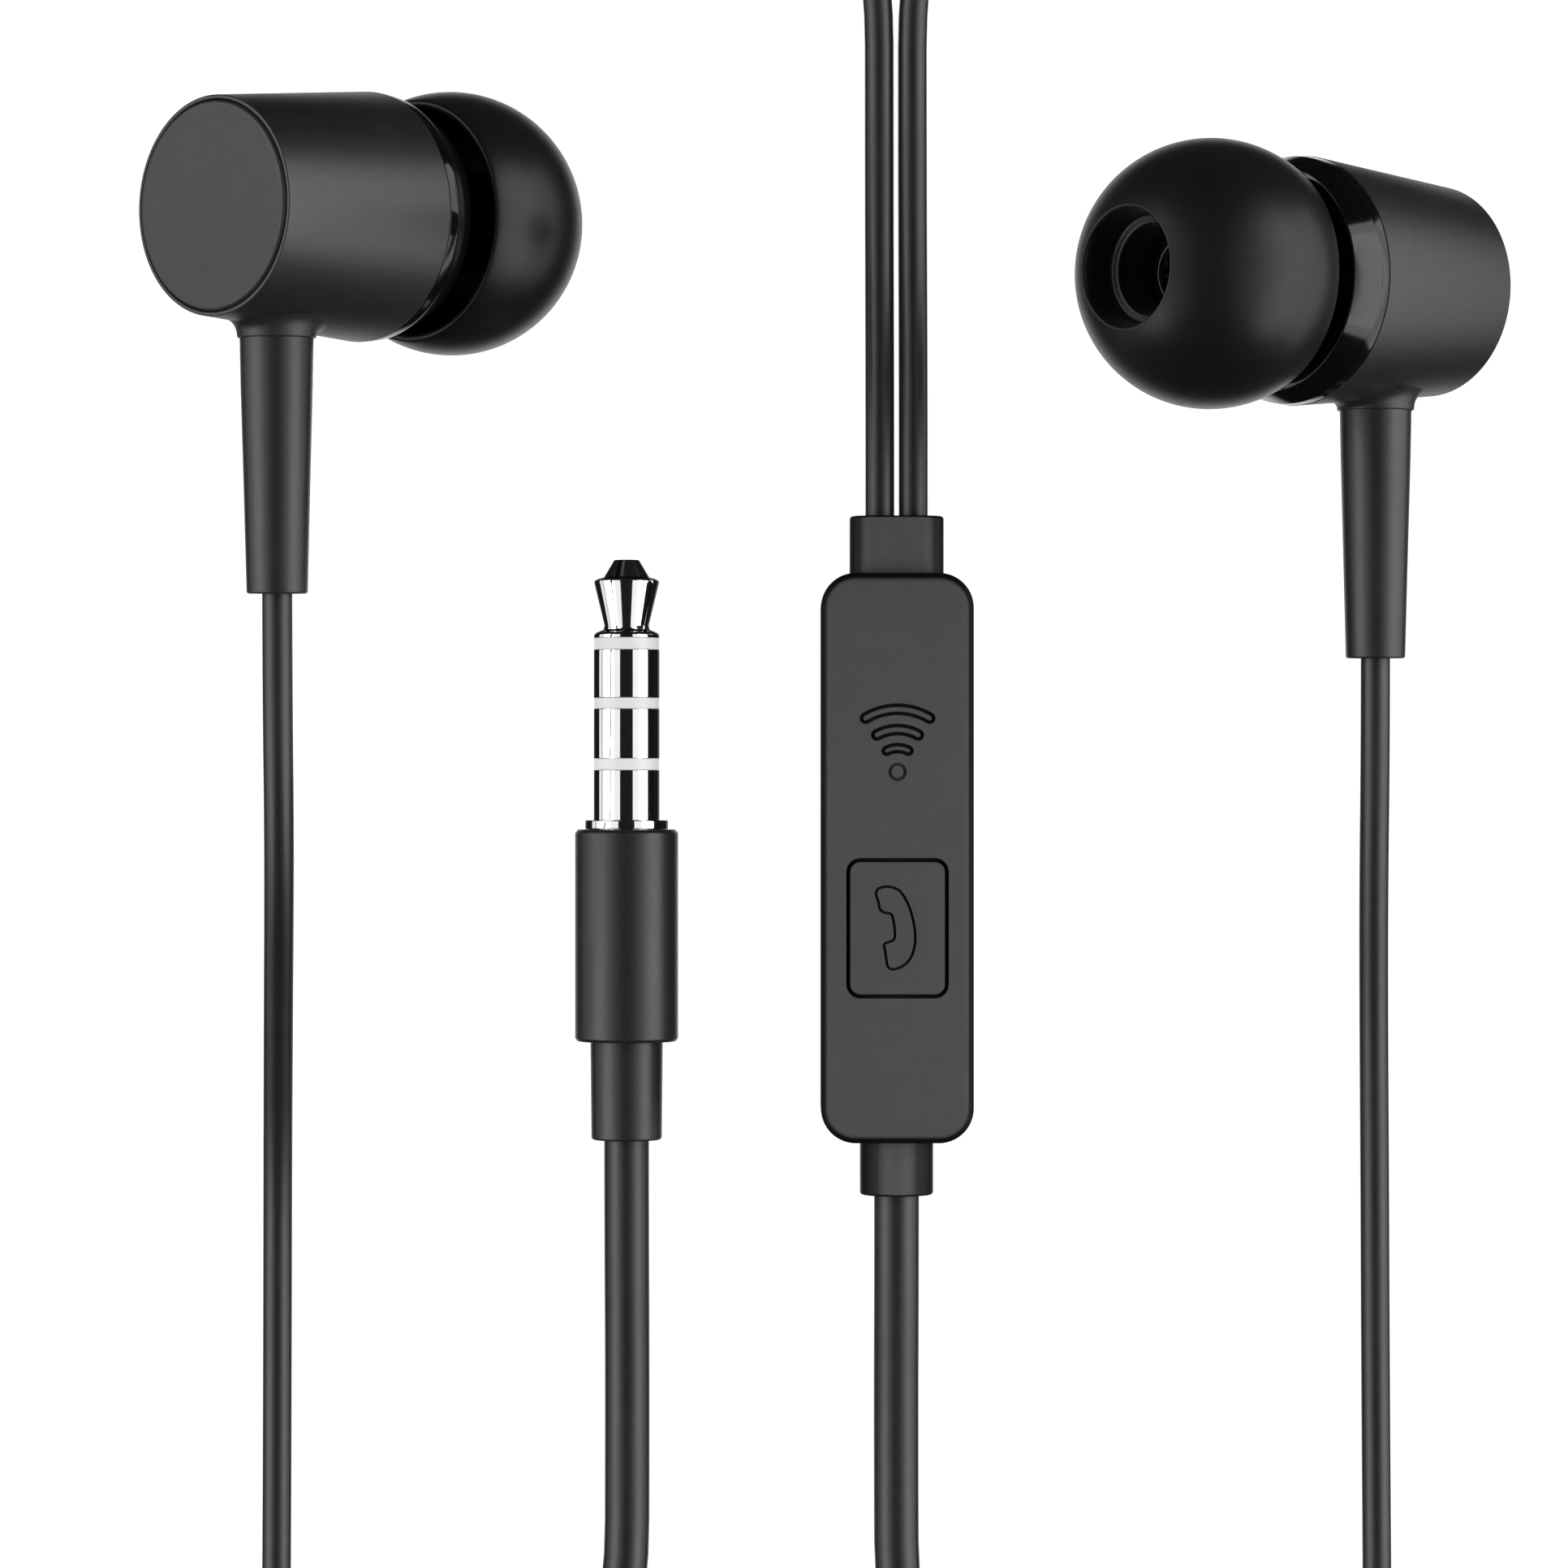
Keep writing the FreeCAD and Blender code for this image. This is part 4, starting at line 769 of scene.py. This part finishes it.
world = bpy.data.worlds.new("studio")
scene.world = world
world.use_nodes = True
wt = world.node_tree
bg = next(n for n in wt.nodes if n.type == "BACKGROUND")
bg.inputs["Strength"].default_value = 1.0
# dim all round, and bright straight below, as a pale sweep looks to a surface seen at a glancing angle
where = wt.nodes.new("ShaderNodeTexCoord")
height = wt.nodes.new("ShaderNodeSeparateXYZ")
below = wt.nodes.new("ShaderNodeValToRGB")
lift = wt.nodes.new("ShaderNodeMapRange")
lift.inputs["From Min"].default_value, lift.inputs["From Max"].default_value = -1.0, 1.0
below.color_ramp.elements[0].position, below.color_ramp.elements[0].color = 0.045, (1.25, 1.25, 1.25, 1.0)
below.color_ramp.elements[1].position, below.color_ramp.elements[1].color = 0.09, (0.012, 0.012, 0.012, 1.0)
wt.links.new(where.outputs["Generated"], height.inputs[0])
wt.links.new(height.outputs["Z"], lift.inputs["Value"])
wt.links.new(lift.outputs["Result"], below.inputs["Fac"])
wt.links.new(below.outputs["Color"], bg.inputs["Color"])
white = wt.nodes.new("ShaderNodeBackground")
white.inputs["Color"].default_value = (1.0, 1.0, 1.0, 1.0)
path = wt.nodes.new("ShaderNodeLightPath")
mixw = wt.nodes.new("ShaderNodeMixShader")
outw = next(n for n in wt.nodes if n.type == "OUTPUT_WORLD")
wt.links.new(path.outputs["Is Camera Ray"], mixw.inputs[0])
wt.links.new(bg.outputs[0], mixw.inputs[1])
wt.links.new(white.outputs[0], mixw.inputs[2])
wt.links.new(mixw.outputs[0], outw.inputs["Surface"])


def softbox(name, direction, distance, width, length, radiance):
    l = bpy.data.lights.new(name, "AREA")
    l.shape, l.size, l.size_y = "RECTANGLE", width, length
    l.energy = radiance * math.pi * width * length
    o = bpy.data.objects.new(name, l)
    d = Vector(direction).normalized()
    o.location = Vector((-0.004, 0.0, 0.005)) + d * distance
    z = d
    y = Vector((0, 1, 0))
    y = (y - z * y.dot(z)).normalized()
    x = y.cross(z)
    o.matrix_world = Matrix(((x.x, y.x, z.x, o.location.x), (x.y, y.y, z.y, o.location.y),
                             (x.z, y.z, z.z, o.location.z), (0, 0, 0, 1)))
    o.visible_camera = False
    scene.collection.objects.link(o)
    return o


def tilt(deg, side):
    return (side * math.sin(math.radians(deg)), 0.0, math.cos(math.radians(deg)))


# a broad soft sheet each side, and a brighter bank in front of each
softbox("sheet_right", tilt(55, 1), 0.60, 0.76, 0.90, 1.00)
softbox("sheet_left", tilt(55, -1), 0.60, 0.76, 0.90, 0.95)
softbox("bank_right", tilt(63, 1), 0.50, 0.30, 1.00, 2.60)
softbox("bank_left", tilt(63, -1), 0.50, 0.30, 1.00, 2.30)
# low strips that reach round under the shiny parts
softbox("kicker_right", tilt(96, 1), 0.60, 0.31, 0.90, 1.90)
softbox("kicker_left", tilt(96, -1), 0.60, 0.31, 0.90, 0.90)
